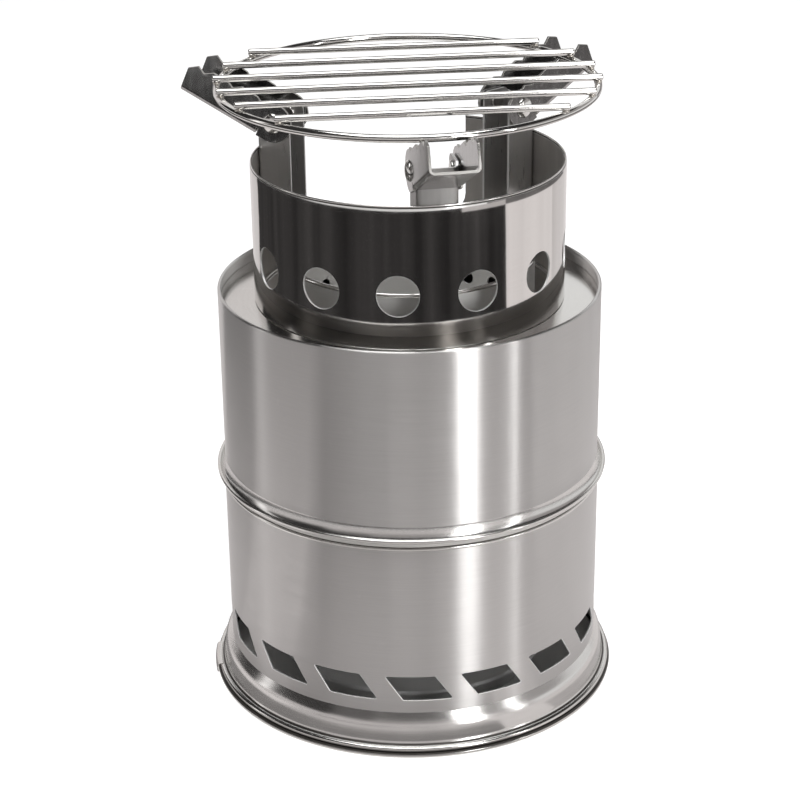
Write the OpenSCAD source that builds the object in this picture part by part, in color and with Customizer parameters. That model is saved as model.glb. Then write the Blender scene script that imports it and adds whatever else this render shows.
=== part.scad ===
// Portable wood stove in stacked sheet-metal sections.
// A vented base carries a double-walled body. A loose crown stands on the body and
// carries three folding pot arms, and a round wire grill rests in the arms' outer notches.
// Millimetres, +Z up. The origin is on the ground, on the stove's upright axis.
// The front of the stove faces -Y, and angles are measured from +X towards +Y.

/* [Sheet and gaps] */
// Thickness of the sheet in the shells, plates and crown
sheet_t = 0.6; // [0.4:0.1:0.8]
// Gap under a piece that only rests on its seat
seat_gap = 0.3; // [0.1:0.1:0.5]
// Gap between pieces that are pressed, seamed or welded together
joint_gap = 0.05; // [0.02:0.01:0.1]
// Radial clearance of a piece that drops into a round seat
slip_gap = 0.35; // [0.2:0.05:0.8]

/* [Base] */
// Outer diameter of the base shell's straight wall
base_d = 123.3; // [118:0.1:132]
// Height of the base, from the ground to the top of its bead
base_h = 72; // [60:1:90]
// Radius of the bead round the base's top edge
base_bead_r = 0.6; // [0.45:0.05:1]
// Height at which the wall starts to flare into the foot
foot_flare_z = 13.2; // [11:0.2:15]
// How far the flare spreads beyond the wall
foot_flare = 4; // [2:0.2:7]
// Height of the slanted step at the top of the flare
foot_step_h = 3.4; // [2:0.1:4.5]
// Radius of the bead round the foot
foot_bead_r = 0.85; // [0.6:0.05:1.1]
// Height of the hoop seamed round the foot
hoop_h = 1.4; // [1:0.1:2]
// Width of the hoop's section
hoop_w = 2.7; // [2:0.1:3.5]
// Length of the hoop's lapped end
hoop_lap = 15; // [4:0.5:20]
// Direction in which the hoop's lap begins
hoop_lap_angle = 178.5; // [0:0.5:360]
// Thickness of the floor pan
pan_t = 0.8; // [0.5:0.1:1.2]

/* [Air vents] */
// Number of slanted vents round the base
vent_count = 16; // [8:1:18]
// Width of a vent along its level edges
vent_w = 15.8; // [8:0.2:16.5]
// Height of a vent
vent_h = 8.4; // [5:0.1:11]
// How far a vent's lower edge is offset from its upper edge
vent_slant = 5.8; // [0:0.2:8]
// Height of the vents' middle
vent_z = 21.9; // [20:0.05:40]
// Corner radius of a vent
vent_corner = 0.5; // [0.3:0.1:2]
// Direction of the front vent's middle
vent_angle = -88.7; // [-110:0.1:-70]

/* [Ash tray] */
// Outer diameter of the ash tray
tray_d = 92; // [60:1:110]
// Height of the ash tray
tray_h = 10; // [6:1:16]

/* [Body] */
// How far the body's wall is set in from the base's
body_step = 0.35; // [0.1:0.05:2]
// Height of the body, from the base's top to the shell's rim
body_h = 64.4; // [50:0.2:90]
// Height of the cove above the shell's rolled lower edge
cove_h = 4; // [2:0.1:8]
// How far the cove spreads beyond the wall
cove_flare = 2.7; // [1.5:0.1:3.5]
// Radius of the shell's rolled lower edge
roll_r = 0.65; // [0.45:0.05:0.9]
// Height of the dark groove between the base and the rolled edge
groove_h = 1.8; // [1:0.1:3]
// Depth of the spigot that locates the body in the base
spigot_h = 6; // [3:0.5:12]
// Depth of the folded hem round the shell's rim
hem_h = 1.6; // [1:0.1:4]
// Depth of the top plate below the shell's rim
plate_drop = 4.2; // [3:0.1:8]
// Number of air holes in the body's floor
floor_hole_count = 16; // [6:1:24]
// Diameter of an air hole in the body's floor
floor_hole_d = 7; // [4:0.5:9]

/* [Chamber] */
// Space between the fire chamber's wall and the crown's
chamber_gap = 8.9; // [5:0.1:14]
// Height of the chamber's rim above the top plate
chamber_rise = 14.6; // [8:0.2:22]
// Radius of the chamber's rolled rim
chamber_roll_r = 0.7; // [0.5:0.05:1]
// Width of the ledge that the fire grate lies on
ledge_w = 3.4; // [2:0.2:6]
// Number of hot-air holes round the chamber's top
air_hole_count = 24; // [8:1:30]
// Diameter of a hot-air hole
air_hole_d = 4.5; // [3:0.5:6]
// Depth of the hot-air holes below the top plate
air_hole_drop = 8; // [6:0.5:20]

/* [Fire grate] */
// Thickness of the fire grate
grate_t = 0.8; // [0.6:0.1:1.5]
// Diameter of a hole in the grate
grate_hole_d = 5; // [3:0.5:6]
// Number of rings of holes round the grate's middle hole
grate_rings = 3; // [1:1:3]

/* [Crown] */
// Width of the top plate's shelf between the crown's wall and the body's
shelf_w = 11.2; // [8:0.1:13]
// Height of the crown
crown_h = 45; // [40:0.5:60]
// Diameter of a round hole in the crown
crown_hole_d = 13; // [6:0.5:14]
// Height of the round holes' middle above the top plate
crown_hole_rise = 17.2; // [12:0.2:20]
// Number of round holes
crown_hole_count = 8; // [2:2:10]
// Angle between neighbouring round holes
crown_hole_step = 28.65; // [20:0.05:28.65]
// Width of the feed opening across its parallel sides
feed_w = 54.5; // [30:0.5:58]
// Height of the feed opening's sill above the crown's lower edge
feed_sill = 11.8; // [6:0.2:30]
// Corner radius of the sill
feed_corner = 6; // [2:0.5:8]
// Height of the pressed bead in the top plate that locates the crown
locator_h = 1; // [0.5:0.1:2]
// Width of that bead
locator_w = 1; // [0.6:0.1:2]

/* [Brackets] */
// Thickness of the sheet in the brackets and arms
arm_t = 0.8; // [0.5:0.1:1.2]
// Width across a bracket's flanges
bracket_w = 12.6; // [10:0.1:14]
// Depth of a bracket's flanges
flange_depth = 11.2; // [10:0.1:12]
// How far a bracket reaches down inside the crown
bracket_drop = 24.4; // [12:0.2:24.8]
// Rise of a bracket's web above the crown's rim
bracket_rise = 10.8; // [9:0.2:11.4]
// Rise of the flanges above the web
flange_rise = 1.5; // [0.5:0.1:1.8]

/* [Pot arms] */
// Direction of the front arm, with the other two a third of a turn apart
arm_angle = -80; // [-100:1:-60]
// Distance of the pivots from the crown's outer face
pivot_inset = 7; // [6.6:0.1:7.4]
// Rise of the pivots above the crown's rim
pivot_rise = 8.8; // [7.5:0.1:9.5]
// Side gap between an arm and its bracket
arm_side_gap = 0.4; // [0.2:0.05:0.8]
// Radius of an arm's rounded inner end
arm_end_r = 6.4; // [6.2:0.1:7]
// Upward slope of an arm's lower edge
arm_slope = 26; // [20:0.5:32]
// Length of an arm's lower edge
arm_reach = 31.9; // [30:0.1:36]
// Reach of the outer notch from the pivot
notch_reach = 22.7; // [20:0.1:24]
// Rise of the outer notch above the pivot
notch_rise = 14.1; // [12:0.1:16]
// Spacing of the notches along the arm
notch_pitch = 9.5; // [8:0.1:11]
// Drop from one notch to the next
notch_step = 3.65; // [3:0.05:4.5]
// Length of a notch's floor
notch_floor = 3.4; // [2:0.1:4]
// Rise of a notch's floor towards its inner lip
notch_lip = 0.5; // [0:0.1:0.8]
// Height of the wall at a notch's outer end
notch_wall = 1.4; // [0.8:0.1:2]
// Lean of that wall
notch_lean = 1; // [0.4:0.1:1.4]
// Height of the outer horn above the outer notch
horn_h = 2.3; // [1:0.1:4]
// Length of the horn's top
horn_w = 3.6; // [2:0.1:4.5]
// Fall of the horn's top towards its outer end
horn_fall = 0.7; // [0:0.1:1.5]

/* [Rivets] */
// Diameter of a pivot rivet's shank
shank_d = 3; // [2:0.1:4]
// Radial clearance of the shank in an arm
pivot_clear = 0.05; // [0.02:0.01:0.1]
// Diameter of a rivet's head
head_d = 6.4; // [5:0.1:8]
// Height of a rivet's domed head
head_h = 1.2; // [0.8:0.1:2]
// Diameter of a rivet's upset tail
tail_d = 4.8; // [3.5:0.1:6]
// Height of the upset tail
tail_h = 0.8; // [0.4:0.1:1.2]

/* [Grill] */
// Diameter of the wire in the grill's ring
ring_wire_d = 2.4; // [1.6:0.1:3]
// How far the ring's wire lies inside the outer notch's lip
ring_inset = 3.6; // [2.6:0.1:4.4]
// Diameter of the wire in the grill's bars
bar_wire_d = 2.2; // [1.6:0.1:3]
// Number of bars across the grill
bar_count = 6; // [2:1:6]
// Spacing of the bars, as a share of the ring's radius
bar_pitch_share = 0.264; // [0.14:0.002:0.3]
// Overhang of a bar's ends beyond the ring wire's middle
bar_overhang = 1.3; // [0.6:0.1:2.5]
// Shift of the set of bars across the ring, as a share of the ring's radius
bar_shift_share = -0.038; // [-0.08:0.002:0.08]
// Turn of the bars from the X axis
bar_turn = 6; // [-30:0.5:30]

/* [Hidden] */
$fn = 96;
// Overrun of every cut beyond the face it opens
over = 1;
// Steps in a curved sheet profile, and in a vent's rounded corner
curve_steps = 8;
corner_steps = 3;
arm_count = 3;
notch_count = 3;
// Turn from one arm to the next
arm_step = 360 / arm_count;

// Base
base_r = base_d / 2;
base_inner_r = base_r - sheet_t;
base_bead_z = base_h - base_bead_r;
foot_edge_z = hoop_h + joint_gap + 2 * foot_bead_r;
foot_edge_r = base_r + foot_flare;
foot_bead_z = hoop_h + joint_gap + foot_bead_r;
// Shares of the flare's spread that the slanted step and the skirt below it reach
foot_step_share = 0.6;
foot_skirt_share = 0.72;
// Share of the height below the step in which the skirt curls out to its bead
foot_curl_share = 0.26;
// Share of the step and of the skirt that the rounded knee between them takes
foot_knee_share = 0.4;
foot_step = [base_r + foot_flare * foot_step_share, foot_flare_z - foot_step_h];
foot_step_angle = atan(foot_flare * foot_step_share / foot_step_h);
foot_curl_h = (foot_step.y - foot_edge_z) * foot_curl_share;
foot_skirt = [base_r + foot_flare * foot_skirt_share, foot_edge_z + foot_curl_h];
hoop_outer_r = foot_edge_r + 2 * foot_bead_r;
hoop_inner_r = hoop_outer_r - hoop_w;
hoop_lap_t = sheet_t;
// Share of the hoop's height that its lapped end covers
hoop_lap_share = 0.8;
pan_r = hoop_inner_r - joint_gap;
tray_r = tray_d / 2;
tray_z = pan_t + seat_gap;
// Share of the sheet's thickness that the tray's rolled rim has as its radius
tray_roll_share = 1.4;
tray_roll_r = sheet_t * tray_roll_share;
// Share of the tray's radius that its flat bottom takes
tray_floor_share = 0.86;

// Body
body_r = base_r - body_step;
body_inner_r = body_r - sheet_t;
body_seat_z = base_h + seat_gap;
body_rim_z = base_h + body_h;
floor_top_z = body_seat_z + groove_h;
floor_z = floor_top_z - sheet_t;
spigot_r = base_inner_r - slip_gap;
groove_r = base_r + base_bead_r / 2;
roll_z = floor_top_z + joint_gap + roll_r;
roll_mid_r = body_r + cove_flare - roll_r;
floor_r = roll_mid_r;
plate_z = body_rim_z - plate_drop;
hem_t = 2 * sheet_t;

// Crown's wall, and the chamber inside it
crown_r = body_inner_r - shelf_w;
crown_inner_r = crown_r - sheet_t;
chamber_r = crown_inner_r - chamber_gap;
chamber_inner_r = chamber_r - sheet_t;
chamber_floor_z = floor_top_z + joint_gap;
chamber_rim_z = plate_z + chamber_rise;
ledge_r = chamber_inner_r - ledge_w;
floor_hole_r = ledge_r;
floor_hole_ring_r = (chamber_r + spigot_r - sheet_t) / 2;
air_hole_z = plate_z - air_hole_drop;
grate_z = chamber_floor_z + sheet_t + seat_gap;
grate_r = chamber_inner_r - slip_gap;
grate_ring_pitch = (ledge_r - grate_hole_d / 2) / grate_rings;

// Crown
crown_z = plate_z + seat_gap;
crown_rim_z = crown_z + crown_h;
crown_hole_z = plate_z + crown_hole_rise;
feed_angle = arm_angle + 180;
feed_z = crown_z + feed_sill;
locator_r = crown_inner_r - slip_gap;

// Brackets, with their web's outer face just clear of the crown's curved wall
web_face_r = sqrt(crown_inner_r * crown_inner_r - bracket_w * bracket_w / 4) - joint_gap;
flange_inner_r = web_face_r - flange_depth;
bracket_z = crown_rim_z - bracket_drop;
web_top_z = crown_rim_z + bracket_rise;
flange_chamfer = flange_rise;

// Arms
pivot_r = crown_r - pivot_inset;
pivot_z = crown_rim_z + pivot_rise;
arm_w = bracket_w + 2 * arm_side_gap + 2 * arm_t;
// Foot of the perpendicular from the pivot to an arm's lower edge
edge_foot = arm_end_r * [sin(arm_slope), -cos(arm_slope)];
edge_dir = [cos(arm_slope), sin(arm_slope)];
edge_normal = [-sin(arm_slope), cos(arm_slope)];
// An arm's web stops against the bracket's web at its upper inner corner
web_start = (web_face_r + seat_gap - pivot_r + arm_t * sin(arm_slope) - edge_foot[0]) / cos(arm_slope);
horn_rake = horn_h / 3;
// Point inside the arm's round end at which its stepped edge runs in
heel = arm_end_r * [-0.25, 0.75];
lip_reach = notch_reach - notch_floor;
lip_rise = notch_rise + notch_lip;
tread_reach = notch_reach - notch_pitch + notch_lean;
tread_rise = notch_rise - notch_step + notch_wall;
tread_slope = atan2(lip_rise - tread_rise, lip_reach - tread_reach);
bore_r = shank_d / 2 + pivot_clear;

// Grill
ring_wire_r = ring_wire_d / 2;
bar_wire_r = bar_wire_d / 2;
// Reach from the pivot at which the ring crosses an arm's side plates
ring_reach = lip_reach - ring_inset;
ring_r = norm([pivot_r + ring_reach, (arm_w - arm_t) / 2]);
ring_seat_rise = lip_rise - ring_inset * tan(tread_slope);
ring_z = pivot_z + ring_seat_rise + (ring_wire_r + seat_gap) / cos(tread_slope);
bar_z = ring_z + ring_wire_r + joint_gap + bar_wire_r;

// Quarter-curve of a sheet that leaves a wall and spreads outwards as it goes down.
// It starts at radius r and height z, spreads by flare over a drop of h, and in_t moves
// it to the sheet's inner side.
function flare_curve(r, z, flare, h, in_t) = [
    for (i = [0:curve_steps])
        let (a = 90 * i / curve_steps)
        [r + flare * (1 - cos(a)) - in_t * cos(a), z - h * sin(a) - in_t * sin(a)]
];

// Profile of the base's foot: a crease, a slanted step, a skirt and a curl out to the bead.
// in_t moves it to the sheet's inner side.
function foot_curve(in_t) =
    let (
        crease = [base_r, foot_flare_z],
        inwards = [-in_t, -in_t * tan(foot_step_angle / 2)],
        a = foot_step + foot_knee_share * (crease - foot_step),
        b = foot_step + foot_knee_share * (foot_skirt - foot_step)
    )
    concat(
        [crease + inwards],
        [
            for (i = [0:curve_steps])
                let (s = i / curve_steps)
                (1 - s) ^ 2 * a + 2 * s * (1 - s) * foot_step + s ^ 2 * b + inwards
        ],
        flare_curve(foot_skirt.x, foot_skirt.y, foot_edge_r - foot_skirt.x, foot_curl_h, in_t)
    );

function reversed(list) = [for (i = [len(list) - 1:-1:0]) list[i]];

// Points round a convex outline's corner at p, between the unit directions a and b of its
// two edges as they leave it, rounded to radius r
function round_corner(p, a, b, r) =
    let (half = acos(a * b) / 2,
         bisector = (a + b) / norm(a + b),
         centre = p + bisector * r / sin(half),
         start = centre - p - a * r / tan(half),
         from = atan2(-start[1], -start[0]),
         finish = centre - p - b * r / tan(half),
         to = atan2(-finish[1], -finish[0]),
         turn = to - from > 180 ? to - from - 360 : to - from < -180 ? to - from + 360 : to - from)
    [for (i = [0:corner_steps])
        centre + r * [cos(from + turn * i / corner_steps), sin(from + turn * i / corner_steps)]];

function unit(v) = v / norm(v);

// Outline with every corner rounded to radius r
function rounded_outline(points, r) = [
    for (i = [0:len(points) - 1])
        let (n = len(points),
             p = points[i],
             before = points[(i + n - 1) % n],
             after = points[(i + 1) % n])
        each round_corner(p, unit(before - p), unit(after - p), r)
];

// Turns its children to a direction round the stove's axis
module facing(angle) {
    rotate([0, 0, angle])
        children();
}

// Cuts an outline, given as tangential and upright sizes, outwards through a wall
module radial_cut(points, angle, from_r, to_r) {
    facing(angle)
        rotate([90, 0, 90])
            translate([0, 0, from_r])
                linear_extrude(to_r - from_r)
                    polygon(points);
}

module radial_bore(r, angle, z, from_r, to_r) {
    facing(angle)
        translate([from_r, 0, z])
            rotate([0, 90, 0])
                cylinder(r = r, h = to_r - from_r);
}

// Washer-like ring
module flat_ring(outer_r, inner_r, h) {
    difference() {
        cylinder(r = outer_r, h = h);
        translate([0, 0, -over])
            cylinder(r = inner_r, h = h + 2 * over);
    }
}

// Rolled edge of round section
module bead(mid_r, z, r) {
    translate([0, 0, z])
        rotate_extrude()
            translate([mid_r, 0])
                circle(r = r);
}

// Base

vent_outline = rounded_outline([
    [-(vent_w + vent_slant) / 2, vent_z + vent_h / 2],
    [(vent_w - vent_slant) / 2, vent_z + vent_h / 2],
    [(vent_w + vent_slant) / 2, vent_z - vent_h / 2],
    [-(vent_w - vent_slant) / 2, vent_z - vent_h / 2]
], vent_corner);

module base_shell() {
    color("#a9a6a4")
        difference() {
            union() {
                rotate_extrude()
                    polygon(concat(
                        [[base_inner_r, base_bead_z], [base_r, base_bead_z]],
                        foot_curve(0),
                        reversed(foot_curve(sheet_t))
                    ));
                bead(base_inner_r + base_bead_r + joint_gap, base_bead_z, base_bead_r);
                bead(foot_edge_r + foot_bead_r - sheet_t, foot_bead_z, foot_bead_r);
            }
            for (i = [0:vent_count - 1])
                radial_cut(vent_outline, vent_angle + 360 * i / vent_count, base_inner_r / 2, base_r + over);
        }
}

module foot_hoop() {
    round_r = hoop_h / 2;
    lap_sweep = 2 * asin(hoop_lap / 2 / hoop_outer_r);
    lap_h = hoop_h * hoop_lap_share;
    color("#c9c6c2") {
        flat_ring(hoop_outer_r - round_r, hoop_inner_r, hoop_h);
        bead(hoop_outer_r - round_r, round_r, round_r);
        facing(hoop_lap_angle)
            rotate_extrude(angle = lap_sweep)
                translate([hoop_outer_r - hoop_w / 2, (hoop_h - lap_h) / 2])
                    square([hoop_w / 2 + hoop_lap_t, lap_h]);
    }
}

module floor_pan() {
    color("#8d8a88")
        cylinder(r = pan_r, h = pan_t);
}

module ash_tray() {
    floor_r = tray_r * tray_floor_share;
    wall_r = tray_r - tray_roll_r;
    top_z = tray_h - tray_roll_r;
    color("#9b9896")
        translate([0, 0, tray_z])
            union() {
                rotate_extrude()
                    polygon([
                        [0, 0], [floor_r, 0], [wall_r, top_z],
                        [wall_r - sheet_t, top_z], [floor_r - sheet_t / 2, sheet_t], [0, sheet_t]
                    ]);
                bead(wall_r, top_z, tray_roll_r);
            }
}

// Body

module body_shell() {
    cove_z = roll_z + cove_h;
    color("#aeabaa") {
        rotate_extrude()
            polygon(concat(
                [
                    [body_inner_r, body_rim_z - hem_h], [body_r - hem_t, body_rim_z - hem_h],
                    [body_r - hem_t, body_rim_z - hem_t / 2], [body_r, body_rim_z - hem_t / 2]
                ],
                flare_curve(body_r, cove_z, cove_flare - sheet_t, cove_h, 0),
                reversed(flare_curve(body_r, cove_z, cove_flare - sheet_t, cove_h, sheet_t))
            ));
        bead(roll_mid_r, roll_z, roll_r);
        bead(body_r - hem_t / 2, body_rim_z - hem_t / 2, hem_t / 2);
    }
}

// Pressed ring that closes the body's bottom and drops into the base
module body_floor() {
    color("#6f6c6a")
        difference() {
            rotate_extrude()
                polygon([
                    [floor_hole_r, floor_top_z], [floor_r, floor_top_z], [floor_r, floor_z],
                    [groove_r, floor_z], [groove_r, body_seat_z], [spigot_r, body_seat_z],
                    [spigot_r, body_seat_z - spigot_h], [spigot_r - sheet_t, body_seat_z - spigot_h],
                    [spigot_r - sheet_t, floor_z], [floor_hole_r, floor_z]
                ]);
            for (i = [0:floor_hole_count - 1])
                facing(360 * i / floor_hole_count)
                    translate([floor_hole_ring_r, 0, floor_z - over])
                        cylinder(d = floor_hole_d, h = sheet_t + 2 * over);
        }
}

module chamber_wall() {
    color("#8f8b88")
        difference() {
            union() {
                translate([0, 0, chamber_floor_z])
                    flat_ring(chamber_r, chamber_inner_r, chamber_rim_z - chamber_roll_r - chamber_floor_z);
                translate([0, 0, chamber_floor_z])
                    flat_ring(chamber_r, ledge_r, sheet_t);
                bead(chamber_r, chamber_rim_z - chamber_roll_r, chamber_roll_r);
            }
            for (i = [0:air_hole_count - 1])
                radial_bore(air_hole_d / 2, 360 * i / air_hole_count, air_hole_z,
                    chamber_inner_r - over, chamber_r + over);
        }
}

module top_plate() {
    color("#b7b4b1") {
        translate([0, 0, plate_z - sheet_t])
            flat_ring(body_inner_r - joint_gap, chamber_r + joint_gap, sheet_t);
        translate([0, 0, plate_z - sheet_t / 2])
            flat_ring(locator_r, locator_r - locator_w, locator_h + sheet_t / 2);
    }
}

module fire_grate() {
    color("#77726e")
        translate([0, 0, grate_z])
            difference() {
                cylinder(r = grate_r, h = grate_t);
                translate([0, 0, -over])
                    cylinder(d = grate_hole_d, h = grate_t + 2 * over);
                for (ring = [1:grate_rings])
                    for (i = [0:6 * ring - 1])
                        facing(60 * i / ring)
                            translate([ring * grate_ring_pitch, 0, -over])
                                cylinder(d = grate_hole_d, h = grate_t + 2 * over);
            }
}

// Crown

feed_outline = rounded_outline([
    [-feed_w / 2, crown_rim_z + over + feed_corner],
    [feed_w / 2, crown_rim_z + over + feed_corner],
    [feed_w / 2, feed_z],
    [-feed_w / 2, feed_z]
], feed_corner);

module crown_ring() {
    color("#5b5856")
        difference() {
            translate([0, 0, crown_z])
                flat_ring(crown_r, crown_inner_r, crown_h);
            for (i = [0:crown_hole_count - 1])
                radial_bore(crown_hole_d / 2,
                    arm_angle + crown_hole_step * (i - (crown_hole_count - 1) / 2),
                    crown_hole_z, crown_inner_r - over, crown_r + over);
            radial_cut(feed_outline, feed_angle, 0, crown_r + over);
        }
}

// U-shaped bracket, with its web against the crown's wall and its flanges pointing inwards
module bracket(angle) {
    flange_top_z = web_top_z + flange_rise;
    color("#4a4746")
        facing(angle)
            difference() {
                union() {
                    translate([web_face_r - arm_t, -bracket_w / 2, bracket_z])
                        cube([arm_t, bracket_w, web_top_z - bracket_z]);
                    for (side = [-1, 1])
                        translate([0, side * (bracket_w - arm_t) / 2, 0])
                            rotate([90, 0, 0])
                                linear_extrude(arm_t, center = true)
                                    polygon([
                                        [web_face_r, bracket_z], [web_face_r, web_top_z],
                                        [web_face_r - flange_chamfer, flange_top_z],
                                        [flange_inner_r + flange_chamfer, flange_top_z],
                                        [flange_inner_r, web_top_z], [flange_inner_r, bracket_z]
                                    ]);
                }
                translate([pivot_r, 0, pivot_z])
                    rotate([90, 0, 0])
                        cylinder(d = shank_d + 2 * joint_gap, h = bracket_w + 2 * over, center = true);
            }
}

// Pair of pivot rivets, headed outside the arm and upset inside the bracket's flanges
module pivot_rivets(angle) {
    head_y = arm_w / 2 + joint_gap;
    tail_y = bracket_w / 2 - arm_t - joint_gap;
    dome_r = (head_d * head_d / 4 + head_h * head_h) / (2 * head_h);
    color("#d6d3cf")
        facing(angle)
            translate([pivot_r, 0, pivot_z])
                for (side = [0, 180])
                    rotate([-90, 0, side]) {
                        translate([0, 0, tail_y - tail_h])
                            cylinder(d = shank_d, h = head_y + head_h / 2 - tail_y + tail_h);
                        translate([0, 0, tail_y - tail_h])
                            cylinder(d = tail_d, h = tail_h);
                        intersection() {
                            translate([0, 0, head_y + head_h - dome_r])
                                sphere(r = dome_r);
                            translate([0, 0, head_y])
                                cylinder(d = head_d, h = head_h + over);
                        }
                    }
}

// Outline of an arm's side plate, measured outwards and upwards from its pivot
arm_outline = concat(
    [[0, 0], edge_foot, edge_foot + arm_reach * edge_dir],
    [
        [notch_reach + notch_lean + horn_rake + horn_w, notch_rise + horn_h - horn_fall],
        [notch_reach + notch_lean + horn_rake, notch_rise + horn_h]
    ],
    [
        for (i = [0:notch_count - 1])
            let (reach = notch_reach - i * notch_pitch, rise = notch_rise - i * notch_step)
            each concat(
                i == 0 ? [] : [[reach + notch_lean, rise + notch_wall]],
                [[reach, rise], [reach - notch_floor, rise + notch_lip]]
            )
    ],
    [heel]
);

// Channel-shaped pot arm, straddling its bracket, with its web along the lower edge
module pot_arm(angle) {
    web_foot = edge_foot + web_start * edge_dir;
    web_end = edge_foot + arm_t * edge_normal + (arm_reach + over) * edge_dir;
    back = arm_end_r + over;
    top = notch_rise + horn_h + over;
    color("#3d3a39")
        facing(angle)
            translate([pivot_r, 0, pivot_z])
                rotate([90, 0, 0])
                    difference() {
                        linear_extrude(arm_w, center = true)
                            difference() {
                                union() {
                                    polygon(arm_outline);
                                    circle(r = arm_end_r);
                                }
                                circle(r = bore_r);
                            }
                        linear_extrude(arm_w - 2 * arm_t, center = true)
                            polygon([
                                web_foot - back * edge_normal, web_foot + arm_t * edge_normal,
                                web_end, [web_end[0], top], [-back, top], [-back, -back]
                            ]);
                    }
}

// Grill

module grill_ring() {
    color("#c4c0bd")
        bead(ring_r, ring_z, ring_wire_r);
}

module grill_bar(index) {
    offset_y = ring_r * (bar_shift_share + bar_pitch_share * (index - (bar_count - 1) / 2));
    half = sqrt(ring_r * ring_r - offset_y * offset_y) + bar_overhang;
    color("#cfcbc8")
        facing(bar_turn)
            translate([-half, offset_y, bar_z])
                rotate([0, 90, 0])
                    cylinder(r = bar_wire_r, h = 2 * half);
}

base_shell();
foot_hoop();
floor_pan();
ash_tray();
body_shell();
body_floor();
chamber_wall();
top_plate();
fire_grate();
crown_ring();
bracket(arm_angle);  // bracket_front
bracket(arm_angle + arm_step);  // bracket_right
bracket(arm_angle + 2 * arm_step);  // bracket_left
pivot_rivets(arm_angle);  // rivets_front
pivot_rivets(arm_angle + arm_step);  // rivets_right
pivot_rivets(arm_angle + 2 * arm_step);  // rivets_left
pot_arm(arm_angle);  // arm_front
pot_arm(arm_angle + arm_step);  // arm_right
pot_arm(arm_angle + 2 * arm_step);  // arm_left
grill_ring();
grill_bar(0);  // grill_bar_1
grill_bar(1);  // grill_bar_2
grill_bar(2);  // grill_bar_3
grill_bar(3);  // grill_bar_4
grill_bar(4);  // grill_bar_5
grill_bar(5);  // grill_bar_6
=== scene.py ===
"""Dressed look of a portable wood stove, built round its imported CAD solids.

Sizes are millimetres in the CAD frame: +Z up, the ground at zero, the stove's axis at the
origin and the front towards -Y. Each mesh is scaled to metres when its piece is finished.
"""
import logging
import math
from collections.abc import Callable, Iterable, Sequence
from dataclasses import dataclass, field
from enum import Enum

import bmesh
import bpy
from mathutils import Matrix, Vector


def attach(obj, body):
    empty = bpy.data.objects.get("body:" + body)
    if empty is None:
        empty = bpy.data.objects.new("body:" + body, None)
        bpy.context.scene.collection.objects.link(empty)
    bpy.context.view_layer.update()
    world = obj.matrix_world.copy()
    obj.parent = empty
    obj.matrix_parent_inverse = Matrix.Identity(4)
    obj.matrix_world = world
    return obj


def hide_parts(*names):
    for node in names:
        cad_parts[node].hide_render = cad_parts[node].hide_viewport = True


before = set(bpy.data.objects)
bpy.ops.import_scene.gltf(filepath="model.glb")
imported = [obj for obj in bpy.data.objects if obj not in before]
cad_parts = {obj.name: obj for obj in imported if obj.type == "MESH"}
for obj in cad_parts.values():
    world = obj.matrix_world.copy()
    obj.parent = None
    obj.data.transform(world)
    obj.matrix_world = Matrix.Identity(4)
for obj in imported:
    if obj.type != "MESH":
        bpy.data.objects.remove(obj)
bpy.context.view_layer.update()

log = logging.getLogger("stove")

MM = 0.001
ROUND_STEPS = 192
# Distances in millimetres below which points are one, seams close, heights are level and cuts are clean
MERGE_GAP, SEAM_GAP, LEVEL_GAP, CUT_GAP = 0.0005, 0.002, 0.01, 0.0001
# Fine bevel on sharp edges: its steps, and the least angle in degrees that gets one
EDGE_STEPS, EDGE_ANGLE = 2, 50.0
Point = tuple[float, float]
Colour = tuple[float, float, float]
# Corners of an outline, each with its x or radius, its height and its rounding length
Profile = Sequence[tuple[float, float, float]]
Mesh = bmesh.types.BMesh
Edges = list[bmesh.types.BMEdge]
Socket = bpy.types.NodeSocket
# Scuffs: turn and stretch of their noise, and the part of its range that shows
SCUFF_TURN, SCUFF_STRETCH, SCUFF_RANGE = (0.5, 0.9, 0.3), (60.0, 900.0, 340.0), (0.66, 0.80)
# Shares of a finish's tint at the darkest and the lightest of its patterns
TINT_SHARES = (0.5, 1.5)
# Shares of a finish's roughness: its least, and what the grain and the clouds add
ROUGH_BASE, ROUGH_LINES, ROUGH_CLOUDS = 0.65, 0.5, 0.2


class Body(Enum):
    """Moving bodies that the pieces ride on, as the CAD names them."""

    BASE = "base"
    BODY = "body"
    CROWN = "crown"
    ARM_FRONT = "arm_front"
    ARM_RIGHT = "arm_right"
    ARM_LEFT = "arm_left"
    GRILL = "grill"


class Slot(Enum):
    """Material slots of the stove's record, which each piece names but nothing here applies."""

    SHELL = "brushed_shell"
    POLISHED = "polished_steel"
    MIRROR = "mirror_steel"
    DARK = "dark_steel"
    CHAMBER = "chamber_steel"
    WIRE = "wire"


class Grain(Enum):
    """Direction in which a finish's fine lines run."""

    ROUND = "round the stove's axis"
    UPRIGHT = "up and down"
    EVEN = "no direction"


# Finishes


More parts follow.
